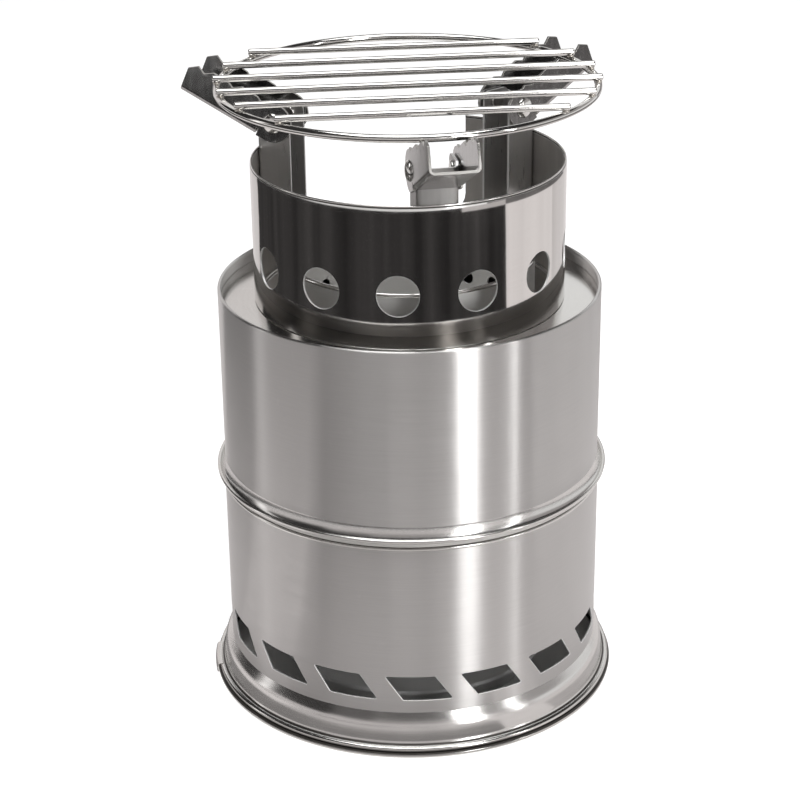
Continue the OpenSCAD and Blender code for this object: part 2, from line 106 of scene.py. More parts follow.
class Nodes:
    """Short calls for wiring one material's nodes."""

    def __init__(self, tree: bpy.types.NodeTree) -> None:
        """Keeps the tree that the nodes go in."""
        self.tree = tree

    @classmethod
    def on(cls, owner: bpy.types.Material | bpy.types.World) -> "Nodes":
        """Starts the wiring of a new material or world, on an empty tree."""
        owner.use_nodes = True
        owner.node_tree.nodes.clear()
        return cls(owner.node_tree)

    def end(self, shader: Socket, kind: str = "ShaderNodeOutputMaterial") -> None:
        """Wires the last shader to the output node."""
        self.wire(shader, self.add(kind).inputs["Surface"])

    def add(self, kind: str, **settings: object) -> bpy.types.Node:
        """Adds a node.

        Args:
            kind: Blender's type name of the node.
            settings: Properties to set on it.

        Returns:
            The node.
        """
        node = self.tree.nodes.new(kind)
        for name, value in settings.items():
            setattr(node, name, value)
        return node

    def wire(self, value: object, socket: Socket) -> None:
        """Puts a number or another node's output into a socket."""
        if isinstance(value, Socket):
            self.tree.links.new(value, socket)
        else:
            socket.default_value = value

    def sum(self, operation: str, *values: object) -> Socket:
        """Adds a Math node.

        Args:
            operation: Blender's name of the operation.
            values: Numbers or outputs for its inputs, in order.

        Returns:
            The node's output.
        """
        node = self.add("ShaderNodeMath", operation=operation)
        for value, socket in zip(values, node.inputs):
            self.wire(value, socket)
        return node.outputs[0]

    def vector(self, x: object, y: object, z: object) -> Socket:
        """Joins three numbers or outputs into a vector output."""
        node = self.add("ShaderNodeCombineXYZ")
        for value, socket in zip((x, y, z), node.inputs):
            self.wire(value, socket)
        return node.outputs[0]

    def noise(self, place: Socket, scale: float, detail: float) -> Socket:
        """Adds a noise texture.

        Args:
            place: Output that gives the place of the shaded point.
            scale: Features to a unit of that place.
            detail: Octaves of finer noise.

        Returns:
            The texture's grey output.
        """
        node = self.add("ShaderNodeTexNoise")
        self.wire(place, node.inputs["Vector"])
        node.inputs["Scale"].default_value = scale
        node.inputs["Detail"].default_value = detail
        return node.outputs["Fac"]


@dataclass(frozen=True)
class SteelFinish:
    """Stainless steel with grain, clouding, scuffs and soft dents, all from nodes."""

    name: str
    tint: Colour
    roughness: float
    grain: Grain = Grain.ROUND
    line_pitch: float = 0.45
    line_length: float = 14.0
    line_depth: float = 0.006
    line_contrast: float = 0.10
    cloud_size: float = 26.0
    cloud_contrast: float = 0.06
    dent_size: float = 18.0
    dent_depth: float = 0.0
    scuff_contrast: float = 0.10
    spread: float = 0.0
    metal: float = 1.0

    def material(self) -> bpy.types.Material:
        """Makes the finish's material once.

        Returns:
            The material, shared by every piece with this finish.
        """
        made = bpy.data.materials.get(self.name)
        if made:
            return made
        made = bpy.data.materials.new(self.name)
        nodes = Nodes.on(made)
        place = nodes.add("ShaderNodeTexCoord").outputs["Object"]
        split = nodes.add("ShaderNodeSeparateXYZ")
        nodes.wire(place, split.inputs[0])
        x, y, z = split.outputs
        lines = nodes.noise(self._along_grain(nodes, x, y, z), 1.0, 2.0)
        clouds = nodes.noise(place, 1 / (self.cloud_size * MM), 3.0)
        patterns = (lines, clouds, self._scuffs(nodes, place))
        middle = 0.5 - (self.line_contrast + self.cloud_contrast) / 2
        tone = self._mixed(nodes, patterns, middle, self.line_contrast, self.cloud_contrast)
        ramp = nodes.add("ShaderNodeValToRGB")
        nodes.wire(tone, ramp.inputs["Fac"])
        for stop, share in zip(ramp.color_ramp.elements, TINT_SHARES):
            stop.color = (*(min(1.0, share * c) for c in self.tint), 1.0)
        least, grain, cloud = (share * self.roughness for share in (ROUGH_BASE, ROUGH_LINES, ROUGH_CLOUDS))
        shader = nodes.add("ShaderNodeBsdfPrincipled")
        shader.inputs["Metallic"].default_value = self.metal
        shader.inputs["Anisotropic"].default_value = self.spread
        nodes.wire(ramp.outputs["Color"], shader.inputs["Base Color"])
        nodes.wire(self._mixed(nodes, patterns, least, grain, cloud), shader.inputs["Roughness"])
        nodes.wire(self._relief(nodes, place, lines), shader.inputs["Normal"])
        if self.spread:
            nodes.wire(self._across(nodes, x, y), shader.inputs["Tangent"])
        nodes.end(shader.outputs[0])
        return made

    def _along_grain(self, nodes: Nodes, x: Socket, y: Socket, z: Socket) -> Socket:
        """Stretches the place along the grain.

        Args:
            nodes: The material's wiring.
            x: Output with the place across.
            y: Output with the place in depth.
            z: Output with the height.

        Returns:
            A vector output, in noise units.
        """
        fine, long = 1 / (self.line_pitch * MM), 1 / (self.line_length * MM)
        if self.grain is Grain.ROUND:
            squares = [nodes.sum("POWER", v, 2.0) for v in (x, y)]
            radius = nodes.sum("SQRT", nodes.sum("ADD", *squares))
            rings = nodes.sum("MULTIPLY", nodes.sum("ADD", z, radius), fine)
            return nodes.vector(nodes.sum("MULTIPLY", x, long), nodes.sum("MULTIPLY", y, long), rings)
        upright = fine if self.grain is Grain.EVEN else long
        parts = [nodes.sum("MULTIPLY", v, fine) for v in (x, y)]
        return nodes.vector(parts[0], parts[1], nodes.sum("MULTIPLY", z, upright))

    def _scuffs(self, nodes: Nodes, place: Socket) -> Socket:
        """Makes sparse fine rubs, as an output from 0 to 1."""
        turn = nodes.add("ShaderNodeMapping")
        nodes.wire(place, turn.inputs["Vector"])
        turn.inputs["Rotation"].default_value = SCUFF_TURN
        turn.inputs["Scale"].default_value = SCUFF_STRETCH
        rubs = nodes.noise(turn.outputs[0], 1.0, 1.0)
        limits = nodes.add("ShaderNodeMapRange")
        nodes.wire(rubs, limits.inputs["Value"])
        limits.inputs["From Min"].default_value, limits.inputs["From Max"].default_value = SCUFF_RANGE
        return limits.outputs[0]

    def _mixed(
        self, nodes: Nodes, patterns: Sequence[Socket], base: float, lines: float, clouds: float,
    ) -> Socket:
        """Adds up the patterns, each at its strength.

        Args:
            nodes: The material's wiring.
            patterns: Outputs of the grain, the clouding and the scuffs.
            base: What the sum starts from.
            lines: Strength of the grain.
            clouds: Strength of the clouding.

        Returns:
            The sum's output.
        """
        level = base
        for pattern, strength in zip(patterns, (lines, clouds, self.scuff_contrast)):
            level = nodes.sum("MULTIPLY_ADD", pattern, strength, level)
        return level

    def _relief(self, nodes: Nodes, place: Socket, lines: Socket) -> Socket:
        """Raises the grain, over soft dents where the sheet has them.

        Args:
            nodes: The material's wiring.
            place: Output with the place.
            lines: Output of the grain.

        Returns:
            A normal output.
        """
        grain = nodes.add("ShaderNodeBump")
        grain.inputs["Distance"].default_value = self.line_depth * MM
        nodes.wire(lines, grain.inputs["Height"])
        if self.dent_depth:
            dents = nodes.add("ShaderNodeBump")
            dents.inputs["Distance"].default_value = self.dent_depth * MM
            nodes.wire(nodes.noise(place, 1 / (self.dent_size * MM), 1.0), dents.inputs["Height"])
            nodes.wire(dents.outputs[0], grain.inputs["Normal"])
        return grain.outputs[0]

    def _across(self, nodes: Nodes, x: Socket, y: Socket) -> Socket:
        """Gives the direction across the grain, in which a highlight spreads."""
        normal = nodes.add("ShaderNodeNewGeometry").outputs["Normal"]
        cross = nodes.add("ShaderNodeVectorMath", operation="CROSS_PRODUCT")
        nodes.wire(normal, cross.inputs[0])
        nodes.wire(nodes.vector(nodes.sum("MULTIPLY", y, -1.0), x, 0.0), cross.inputs[1])
        return cross.outputs[0]


SATIN_SHELL = SteelFinish(
    "satin_shell", (0.56, 0.55, 0.54), 0.33, line_contrast=0.12, dent_size=30.0, dent_depth=0.05,
    scuff_contrast=0.03, spread=1.0,
)
POLISHED_ROLL = SteelFinish(
    "polished_roll", (0.66, 0.65, 0.63), 0.15, line_depth=0.0, line_contrast=0.03
)
# Painted shade: a near-black finish for the crevice at the foot's bead, the hoop's groove and the groove
# under the crown's rim
PAINTED_CREVICE_SHADE = SteelFinish(
    "painted_crevice_shade", (0.06, 0.055, 0.05), 0.35, line_depth=0.0, line_contrast=0.04, scuff_contrast=0.02,
    metal=0.6,
)
SHEARED_EDGE = SteelFinish(
    "sheared_edge", (0.46, 0.45, 0.43), 0.30, line_depth=0.0, scuff_contrast=0.0, metal=0.9
)
# Painted highlight: a near-white, half-metallic finish on cut edges and their bevels, so every hole and
# vent edge shows a bright line
PAINTED_HIGHLIGHT_EDGE = SteelFinish(
    "painted_highlight_edge", (0.88, 0.86, 0.82), 0.42, line_depth=0.0, line_contrast=0.06, scuff_contrast=0.0,
    metal=0.5,
)
POLISHED_FLARE = SteelFinish(
    "polished_flare", (0.60, 0.59, 0.575), 0.20, dent_size=16.0, dent_depth=0.04, scuff_contrast=0.03,
    spread=0.4,
)
MIRROR_CROWN = SteelFinish(
    "mirror_crown", (0.57, 0.555, 0.54), 0.07, line_depth=0.0, line_contrast=0.05,
    cloud_contrast=0.04, dent_size=22.0, dent_depth=0.14, scuff_contrast=0.02,
)
BRIGHT_PLATE = SteelFinish("bright_plate", (0.64, 0.63, 0.61), 0.17, line_depth=0.003, spread=0.5)
# Painted light: a pale, barely metallic tint that lightens the fire wall where little light reaches it
CHAMBER_PAINTED_LIGHT = SteelFinish(
    "chamber_painted_light", (0.88, 0.85, 0.78), 0.46, line_depth=0.004, cloud_contrast=0.14, scuff_contrast=0.04,
    metal=0.15,
)
CROWN_INSIDE = SteelFinish(
    "crown_inside", (0.50, 0.48, 0.46), 0.40, grain=Grain.UPRIGHT, line_pitch=3.0, line_depth=0.004,
    line_contrast=0.35, cloud_contrast=0.16, scuff_contrast=0.06, metal=0.7,
)
PRESSED_ARM = SteelFinish(
    "pressed_arm", (0.34, 0.335, 0.33), 0.15, grain=Grain.UPRIGHT, line_pitch=1.5, line_depth=0.003,
    line_contrast=0.45, cloud_size=9.0, cloud_contrast=0.12, dent_size=7.0, dent_depth=0.03,
)
FORMED_BRACKET = SteelFinish(
    "formed_bracket", (0.42, 0.41, 0.40), 0.30, grain=Grain.UPRIGHT, line_pitch=1.2, line_depth=0.004,
    line_contrast=0.16, cloud_size=12.0, cloud_contrast=0.14, metal=0.75,
)
DRAWN_WIRE = SteelFinish(
    "drawn_wire", (0.64, 0.63, 0.61), 0.10, grain=Grain.EVEN, line_pitch=0.5, line_depth=0.004
)
# Painted shade: a dark finish on a band round the grill ring's wire, from a little below its middle to a
# little above it
PAINTED_SHADE_WIRE = SteelFinish(
    "painted_shade_wire", (0.17, 0.16, 0.15), 0.30, grain=Grain.EVEN, line_pitch=0.5, line_depth=0.004,
    cloud_size=8.0, cloud_contrast=0.2,
)
WELD_BEAD = SteelFinish(
    "weld_bead", (0.52, 0.49, 0.45), 0.28, grain=Grain.EVEN, line_pitch=0.35, line_depth=0.03,
    cloud_size=2.0, cloud_contrast=0.25,
)
MILL_SHEET = SteelFinish(
    "mill_sheet", (0.58, 0.57, 0.55), 0.55, line_depth=0.004, cloud_size=12.0, cloud_contrast=0.16,
    scuff_contrast=0.04, metal=0.7,
)
# Painted light: a near-white, nearly matt tint that lightens the base wall's inside, the floor pan and the
# ash tray
PAINTED_LIGHT_INSIDE = SteelFinish(
    "painted_light_inside", (0.88, 0.86, 0.83), 0.60, line_depth=0.004, cloud_size=12.0, cloud_contrast=0.12,
    scuff_contrast=0.03, metal=0.05,
)
HEADED_RIVET = SteelFinish("headed_rivet", (0.66, 0.65, 0.63), 0.14, grain=Grain.EVEN, line_pitch=0.4)


# Mesh work


def meshed(name: str, bm: Mesh) -> bpy.types.Mesh:
    """Turns a bmesh into a named mesh and frees it."""
    mesh = bpy.data.meshes.new(name)
    bm.to_mesh(mesh)
    bm.free()
    return mesh


def shown(name: str, data: bpy.types.ID) -> bpy.types.Object:
    """Puts a mesh, lamp or camera into the scene and returns its object."""
    obj = bpy.data.objects.new(name, data)
    bpy.context.scene.collection.objects.link(obj)
    return obj


def joined(target: Mesh, part: Mesh) -> None:
    """Moves one bmesh's contents into another and frees it."""
    carrier = meshed("carrier", part)
    target.from_mesh(carrier)
    bpy.data.meshes.remove(carrier)


def outwards(bm: Mesh) -> Mesh:
    """Turns a bmesh's faces outwards and returns it."""
    bmesh.ops.recalc_face_normals(bm, faces=bm.faces[:])
    return bm


def everything(bm: Mesh) -> list[object]:
    """Lists a bmesh's vertices, edges and faces."""
    return bm.verts[:] + bm.edges[:] + bm.faces[:]


def turned(bm: Mesh, degrees: float) -> None:
    """Turns a bmesh round the stove's axis."""
    turn = Matrix.Rotation(math.radians(degrees), 3, "Z")
    bmesh.ops.rotate(bm, cent=(0, 0, 0), matrix=turn, verts=bm.verts[:])


def swept(bm: Mesh, geom: Iterable[object], degrees: float, steps: int, **switches: bool) -> None:
    """Spins geometry round the stove's axis.

    Args:
        bm: The bmesh that holds the geometry.
        geom: Vertices, edges and faces to spin.
        degrees: Angle of the whole sweep.
        steps: Steps in the sweep.
        switches: Spin's own switches, such as use_merge.
    """
    bmesh.ops.spin(
        bm, geom=geom, cent=(0, 0, 0), axis=(0, 0, 1), angle=math.radians(degrees), steps=steps,
        **switches,
    )


def full_ring(bm: Mesh, steps: int) -> Mesh:
    """Spins an open section once round the axis and returns the closed ring."""
    swept(bm, bm.verts[:] + bm.edges[:], 360, steps, use_merge=True)
    bmesh.ops.remove_doubles(bm, verts=bm.verts[:], dist=MERGE_GAP)
    return outwards(bm)


def blunted(
    bm: Mesh, geom: Iterable[object], length: float, steps: int = 5, what: str = "VERTICES",
) -> None:
    """Rounds corners or edges with a bevel.

    Args:
        bm: The bmesh that holds them.
        geom: The vertices or edges.
        length: Distance from the corner at which the rounding starts.
        steps: Segments in it.
        what: Blender's word for corners or edges.
    """
    bmesh.ops.bevel(
        bm, geom=geom, offset=length, offset_type="OFFSET", affect=what, segments=steps, profile=0.5,
        material=-1,
    )


def flat_outline(points: Profile) -> Mesh:
    """Draws a face in the XZ plane and rounds its corners.

    Args:
        points: Each corner's x, z and rounding length, in order round the face.

    Returns:
        A bmesh with the one face.
    """
    bm = bmesh.new()
    corners = [bm.verts.new((x, 0, z)) for x, z, _ in points]
    bm.faces.new(corners)
    for length in sorted({p[2] for p in points if p[2] > 0}):
        blunted(bm, [v for v, p in zip(corners, points) if p[2] == length], length)
    return bm


def lathed(points: Profile, steps: int = ROUND_STEPS) -> Mesh:
    """Spins a closed profile once round the axis.

    Args:
        points: Each corner's radius, height and rounding length, in order.
        steps: Steps round the axis.

    Returns:
        A bmesh of the closed ring, with its faces outwards.
    """
    bm = flat_outline(points)
    bmesh.ops.delete(bm, geom=bm.faces[:], context="FACES_ONLY")
    return full_ring(bm, steps)


def wire_ring(mid_r: float, z: float, r: float, steps: int = ROUND_STEPS, sides: int = 20) -> Mesh:
    """Spins a round section once round the axis.

    Args:
        mid_r: Distance of the section's middle from the axis.
        z: Height of the section's middle.
        r: The section's radius.
        steps: Steps round the axis.
        sides: Sides of the section.

    Returns:
        A bmesh of the ring.
    """
    bm = bmesh.new()
    upright = Matrix.Translation((mid_r, 0, z)) @ Matrix.Rotation(math.pi / 2, 4, "X")
    bmesh.ops.create_circle(bm, cap_ends=False, radius=r, segments=sides, matrix=upright)
    return full_ring(bm, steps)


def drawn_on(bm: Mesh, edges: Edges, stations: Iterable[Point]) -> None:
    """Extrudes a level run of edges through rings of given radius and height.

    Args:
        bm: The bmesh that holds the edges.
        edges: Edges at one radius and height.
        stations: Radius and height of each new ring, in order.
    """
    for radius, height in stations:
        fresh = bmesh.ops.extrude_edge_only(bm, edges=edges)["geom"]
        verts = [g for g in fresh if isinstance(g, bmesh.types.BMVert)]
        grown = set(verts)
        edges = [g for g in fresh if isinstance(g, bmesh.types.BMEdge) and set(g.verts) <= grown]
        start = verts[0].co
        share = radius / math.hypot(start.x, start.y)
        rise = height - start.z
        bmesh.ops.scale(bm, vec=(share, share, 1), verts=verts)
        bmesh.ops.translate(bm, vec=(0, 0, rise), verts=verts)


def level_edges(bm: Mesh, z: float) -> Edges:
    """Finds the open edges that lie at one height.

    Args:
        bm: The bmesh to search.
        z: The height.

    Returns:
        The open edges with both ends at that height.
    """
    return [e for e in bm.edges if e.is_boundary and all(abs(v.co.z - z) < LEVEL_GAP for v in e.verts)]


def bent_round(bm: Mesh, radius: float) -> None:
    """Rolls a flat sheet in the XZ plane onto a cylinder, its middle to the front."""
    for vert in bm.verts:
        turn = vert.co.x / radius
        vert.co = (radius * math.sin(turn), -radius * math.cos(turn), vert.co.z)


def repeated(bm: Mesh, first: float, pitch: float, count: int) -> None:
    """Turns what stands at the front to an angle, and copies it round the axis.

    Args:
        bm: The bmesh to copy within.
        first: Angle from +X of the first copy, in degrees.
        pitch: Angle between copies, in degrees.
        count: Number of copies.
    """
    turned(bm, first + 90)
    swept(bm, everything(bm), pitch * (count - 1), count - 1, use_duplicate=True)
    bmesh.ops.remove_doubles(bm, verts=bm.verts[:], dist=SEAM_GAP)


@dataclass
class PunchedRow:
    """A row of equal openings round a wall, drawn flat, one panel to each opening."""

    wall_r: float
    low: float
    high: float
    pitch: float
    columns: int
    rows: int
    rings: int
    slant_share: float = 0.0

    def panel(self, opening: Callable[[Mesh], None]) -> Mesh:
        """Draws a panel with an opening in it.

        Args:
            opening: Draws the opening's loop into a bmesh, with as many edges as the panel has.

        Returns:
            A flat bmesh in the XZ plane.
        """
        bm = bmesh.new()
        corners = self.corners(bm, self.wall_r * math.radians(self.pitch), self.high - self.low)
        sides = [bm.edges.new((corners[i - 1], corners[i])) for i in range(4)]
        bmesh.ops.subdivide_edges(bm, edges=[sides[1], sides[3]], cuts=self.columns - 1)
        bmesh.ops.subdivide_edges(bm, edges=[sides[0], sides[2]], cuts=self.rows - 1)
        opening(bm)
        loops = set(bm.edges)
        bmesh.ops.bridge_loops(bm, edges=bm.edges[:])
        spokes = [e for e in bm.edges if e not in loops]
        bmesh.ops.subdivide_edges(bm, edges=spokes, cuts=self.rings, use_grid_fill=True)
        return bm

    def middle(self) -> float:
        """Height of the row's middle."""
        return (self.low + self.high) / 2

    def corners(self, bm: Mesh, width: float, height: float) -> list[bmesh.types.BMVert]:
        """Draws the corners of a leaning panel or vent round the row's middle.

        Args:
            bm: The bmesh to draw in.
            width: Length of its level edges.
            height: Height between them.

        Returns:
            The corners, from the lower left round.
        """
        half, lean = width / 2, height / 2 * self.slant_share
        low, high = self.middle() - height / 2, self.middle() + height / 2
        places = ((lean - half, low), (lean + half, low), (half - lean, high), (-half - lean, high))
        return [bm.verts.new((x, 0, z)) for x, z in places]

    def round_hole(self, radius: float) -> Callable[[Mesh], None]:
        """Makes the opening call for a round hole of a radius."""

        def draw(bm: Mesh) -> None:
            """Draws the hole's loop."""
            upright = Matrix.Translation((0, 0, self.middle())) @ Matrix.Rotation(math.pi / 2, 4, "X")
            edges = 2 * (self.columns + self.rows)
            bmesh.ops.create_circle(bm, cap_ends=False, radius=radius, segments=edges, matrix=upright)

        return draw

    def slanted_vent(self, width: float, height: float, corner_r: float) -> Callable[[Mesh], None]:
        """Makes the opening call for a leaning vent.

        Args:
            width: Length of its level edges.
            height: Height between them.
            corner_r: Radius of its corners.

        Returns:
            A call that draws the vent's loop.
        """

        def draw(bm: Mesh) -> None:
            """Draws the vent's loop."""
            turns = 4
            lean_angle = math.atan(self.slant_share)
            blunt = corner_r / math.tan((math.pi / 2 + lean_angle) / 2)
            sharp = corner_r / math.tan((math.pi / 2 - lean_angle) / 2)
            part = bmesh.new()
            corners = self.corners(part, width, height)
            part.faces.new(corners)
            for pair, length in (((0, 2), blunt), ((1, 3), sharp)):
                blunted(part, [corners[i] for i in pair], length, turns)
            bmesh.ops.delete(part, geom=part.faces[:], context="FACES_ONLY")
            straight = sorted(part.edges, key=lambda e: e.calc_length())[-4:]
            level = [e for e in straight if abs(e.verts[0].co.z - e.verts[1].co.z) < LEVEL_GAP]
            leaning = [e for e in straight if e not in level]
            bmesh.ops.subdivide_edges(part, edges=level, cuts=self.columns - turns - 1)
            bmesh.ops.subdivide_edges(part, edges=leaning, cuts=self.rows - turns - 1)
            joined(bm, part)

        return draw


@dataclass
class Workpiece:
    """One named mesh of the stove on its way from a bmesh to a dressed object."""

    name: str
    body: Body
    slot: Slot
    finish: SteelFinish
    others: tuple[SteelFinish, ...] = ()
    inside: SteelFinish | None = None
    cut: SteelFinish = PAINTED_HIGHLIGHT_EDGE
    bm: Mesh = field(default_factory=bmesh.new)

    def add(self, *parts: Mesh) -> "Workpiece":
        """Takes in more geometry and returns the piece."""
        for part in parts:
            joined(self.bm, part)
        return self

    def placed(self, matrix: Matrix) -> "Workpiece":
        """Moves the whole mesh by a matrix and returns the piece."""
        bmesh.ops.transform(self.bm, matrix=matrix, verts=self.bm.verts[:])
        return self

    def zoned(self, index: int, inside: Callable[[Vector], bool]) -> "Workpiece":
        """Gives one of the other finishes to the faces whose middle lies inside a zone.

        Args:
            index: The finish's place among the others, from 1.
            inside: Tells whether a place lies in the zone.

        Returns:
            The piece.
        """
        for face in self.bm.faces:
            if inside(face.calc_center_median()):
                face.material_index = index
        return self

    def done(
        self, stands_for: Sequence[str] = (), wall: float = 0.0, wall_side: float = -1.0,
        edge: float = 0.0, crease: float = 34.0,
    ) -> bpy.types.Object:
        """Turns the mesh into an object on its body, with its finish.

        Args:
            stands_for: CAD nodes that the object is shown for.
            wall: Thickness that an open sheet gets, or 0.
            wall_side: Side of the sheet on which the thickness lies, from -1 to 1.
            edge: Width of the fine bevel on sharp edges, or 0.
            crease: Angle above which an edge shows sharp, in degrees.

        Returns:
            The object.
        """
        bm = self.bm
        bmesh.ops.scale(bm, vec=(MM, MM, MM), verts=bm.verts[:])
        for face in bm.faces:
            face.smooth = True
        for rim in bm.edges:
            rim.smooth = rim.calc_face_angle(0.0) < math.radians(crease)
        mesh = meshed(self.name, bm)
        finishes = [self.finish, *self.others]
        if wall:
            finishes += [self.cut, self.inside or self.finish]
        for finish in finishes:
            mesh.materials.append(finish.material())
        obj = shown(self.name, mesh)
        if wall:
            sheet = obj.modifiers.new("sheet", "SOLIDIFY")
            sheet.thickness, sheet.offset, sheet.use_even_offset = wall * MM, wall_side, True
            sheet.material_offset, sheet.material_offset_rim = len(finishes) - 1, len(finishes) - 2
        if edge:
            rounded = obj.modifiers.new("edges", "BEVEL")
            rounded.width, rounded.segments, rounded.profile = edge * MM, EDGE_STEPS, 0.5
            rounded.limit_method, rounded.angle_limit = "ANGLE", math.radians(EDGE_ANGLE)
            rounded.harden_normals = True
            rounded.material = len(finishes) - 2 if wall else -1
        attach(obj, self.body.value)
        if stands_for:
            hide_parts(*stands_for)
        log.info("%s on %s, %d faces", self.name, self.body.value, len(mesh.polygons))
        return obj


def quarter_flare(
    r: float, z: float, spread: float, drop: float, lead: float, steps: int = 12,
) -> list[Point]:
    """Gives the stations of a wall that spreads outwards as it goes down.

    Args:
        r: Radius at the start.
        z: Height at the start.
        spread: How far it spreads.
        drop: How far it goes down.
        lead: Share of the spread that comes evenly, which makes a crease at the start.
        steps: Number of stations.

    Returns:
        Radius and height of each station.
    """
    stations = []
    for i in range(1, steps + 1):
        turn = math.pi / 2 * i / steps
        down = math.sin(turn)
        out = lead * down + (1 - lead) * (1 - math.cos(turn))
        stations.append((r + spread * out, z - drop * down))
    return stations


# The stove


@dataclass
class BaseSection:
    """Vented base with its rolled top edge, flared foot and hoop."""

    wall_r: float = 61.65
    sheet: float = 0.6
    top_z: float = 72.0
    bead_r: float = 0.6
    flare_z: float = 13.2
    flare: float = 4.0
    edge_z: float = 3.15
    foot_bead_r: float = 0.85
    step_h: float = 3.4
    step_share: float = 0.6
    knee_share: float = 0.4
    skirt_share: float = 0.72
    curl_h: float = 1.73
    vent_z: float = 21.9
    vent_w: float = 15.8
    vent_h: float = 8.4
    vent_slant: float = 5.8
    vent_corner: float = 0.5
    vent_count: int = 16
    vent_panel: float = 12.6
    wall_rings: int = 9
    vent_angle: float = -88.7
    hoop_h: float = 1.4
    hoop_in: float = 64.65
    hoop_out: float = 67.35
    lap_angle: float = 178.5
    lap_sweep: float = 12.8
    lap_t: float = 0.6
    lip_h: float = 1.0
    groove: float = 0.25

    def build(self) -> None:
        """Builds and dresses the base's pieces."""
        self.shell()
        self.beads()
        self.hoop()

    def shell(self) -> None:
        """Makes the vented wall and its flare."""
        pitch = 360 / self.vent_count
        low, high = self.vent_z - self.vent_panel / 2, self.vent_z + self.vent_panel / 2
        slant = self.vent_slant / self.vent_h
        row = PunchedRow(self.wall_r, low, high, pitch, columns=16, rows=10, rings=2, slant_share=slant)
        bm = row.panel(row.slanted_vent(self.vent_w, self.vent_h, self.vent_corner))
        bent_round(bm, self.wall_r)
        repeated(bm, self.vent_angle, pitch, self.vent_count)
        top = self.top_z - self.bead_r
        rise = (top - row.high) / self.wall_rings
        rings = [(self.wall_r, row.high + rise * (i + 1)) for i in range(self.wall_rings)]
        drawn_on(bm, level_edges(bm, row.high), rings)
        drawn_on(bm, level_edges(bm, row.low), [(self.wall_r, row.low - 1), *self.foot()])
        outwards(bm)
        others = (POLISHED_FLARE, PAINTED_CREVICE_SHADE)
        # The wall's inside gets the painted light finish
        wall = Workpiece("base_wall", Body.BASE, Slot.SHELL, SATIN_SHELL, others, PAINTED_LIGHT_INSIDE).add(bm)
        # Faces within half a millimetre of the foot's edge get painted shade, for the crevice against the
        # bead
        wall.zoned(1, lambda p: p.z < self.flare_z).zoned(2, lambda p: p.z < self.edge_z + 0.5)
        wall.done(["base_shell"], wall=self.sheet, edge=0.25, crease=30)

    def foot(self) -> list[Point]:
        """Gives the stations of the foot.

        Returns:
            Radius and height down a crease, a slanted step, a knee, a skirt and a curl.
        """
        crease = Vector((self.wall_r, self.flare_z))
        knee = Vector((self.wall_r + self.flare * self.step_share, self.flare_z - self.step_h))
        skirt = Vector((self.wall_r + self.flare * self.skirt_share, self.edge_z + self.curl_h))
        above, below = knee.lerp(crease, self.knee_share), knee.lerp(skirt, self.knee_share)
        bend = [above.lerp(knee, i / 8).lerp(knee.lerp(below, i / 8), i / 8) for i in range(9)]
        step = [crease.lerp(above, share) for share in (0.0, 0.3, 0.7)]
        path = [*step, *bend, below.lerp(skirt, 0.5), skirt]
        spread = self.wall_r + self.flare - skirt.x
        return [tuple(p) for p in path] + quarter_flare(skirt.x, skirt.y, spread, self.curl_h, 0.0, 8)

    def beads(self) -> None:
        """Makes the rolled edges at the base's top and round its foot."""
        top = wire_ring(self.wall_r + 0.05, self.top_z - self.bead_r, self.bead_r)
        foot_r = self.wall_r + self.flare + self.foot_bead_r - self.sheet
        foot = wire_ring(foot_r, self.edge_z - self.foot_bead_r, self.foot_bead_r)
        rolls = Workpiece("base_rolled_edges", Body.BASE, Slot.SHELL, POLISHED_ROLL).add(top, foot)
        rolls.done(["base_shell"])

    def hoop(self) -> None:
        """Makes the hoop under the foot, with its lapped end."""
        out, top, low = self.hoop_out, self.edge_z + 0.2, self.hoop_h * 0.1
        groove = out - self.groove
        ring = lathed([
            (self.hoop_in, 0, 0.2), (out, 0, 0.1), (out, self.lip_h, 0.12),
            (groove, self.lip_h + 0.1, 0.05), (groove, self.hoop_h, 0.1), (self.hoop_in, self.hoop_h, 0.2),
        ])
        lap = flat_outline([
            (out - 2.0, top - 0.35, 0), (out - 1.3, top, 0.3), (out, top - 0.2, 0.6),
            (out + self.lap_t, top - 1.3, 0.6), (out + self.lap_t, low, 0.2), (out, low, 0),
        ])
        turned(lap, self.lap_angle)
        swept(lap, lap.faces[:], self.lap_sweep, 12)
        outwards(lap)
        # The hoop above its lip gets painted shade, for the shade in its groove
        band = Workpiece("foot_hoop_band", Body.BASE, Slot.POLISHED, POLISHED_ROLL, (PAINTED_CREVICE_SHADE,)).add(ring)
        band.zoned(1, lambda p: p.z > self.lip_h).add(lap).done(["foot_hoop"])


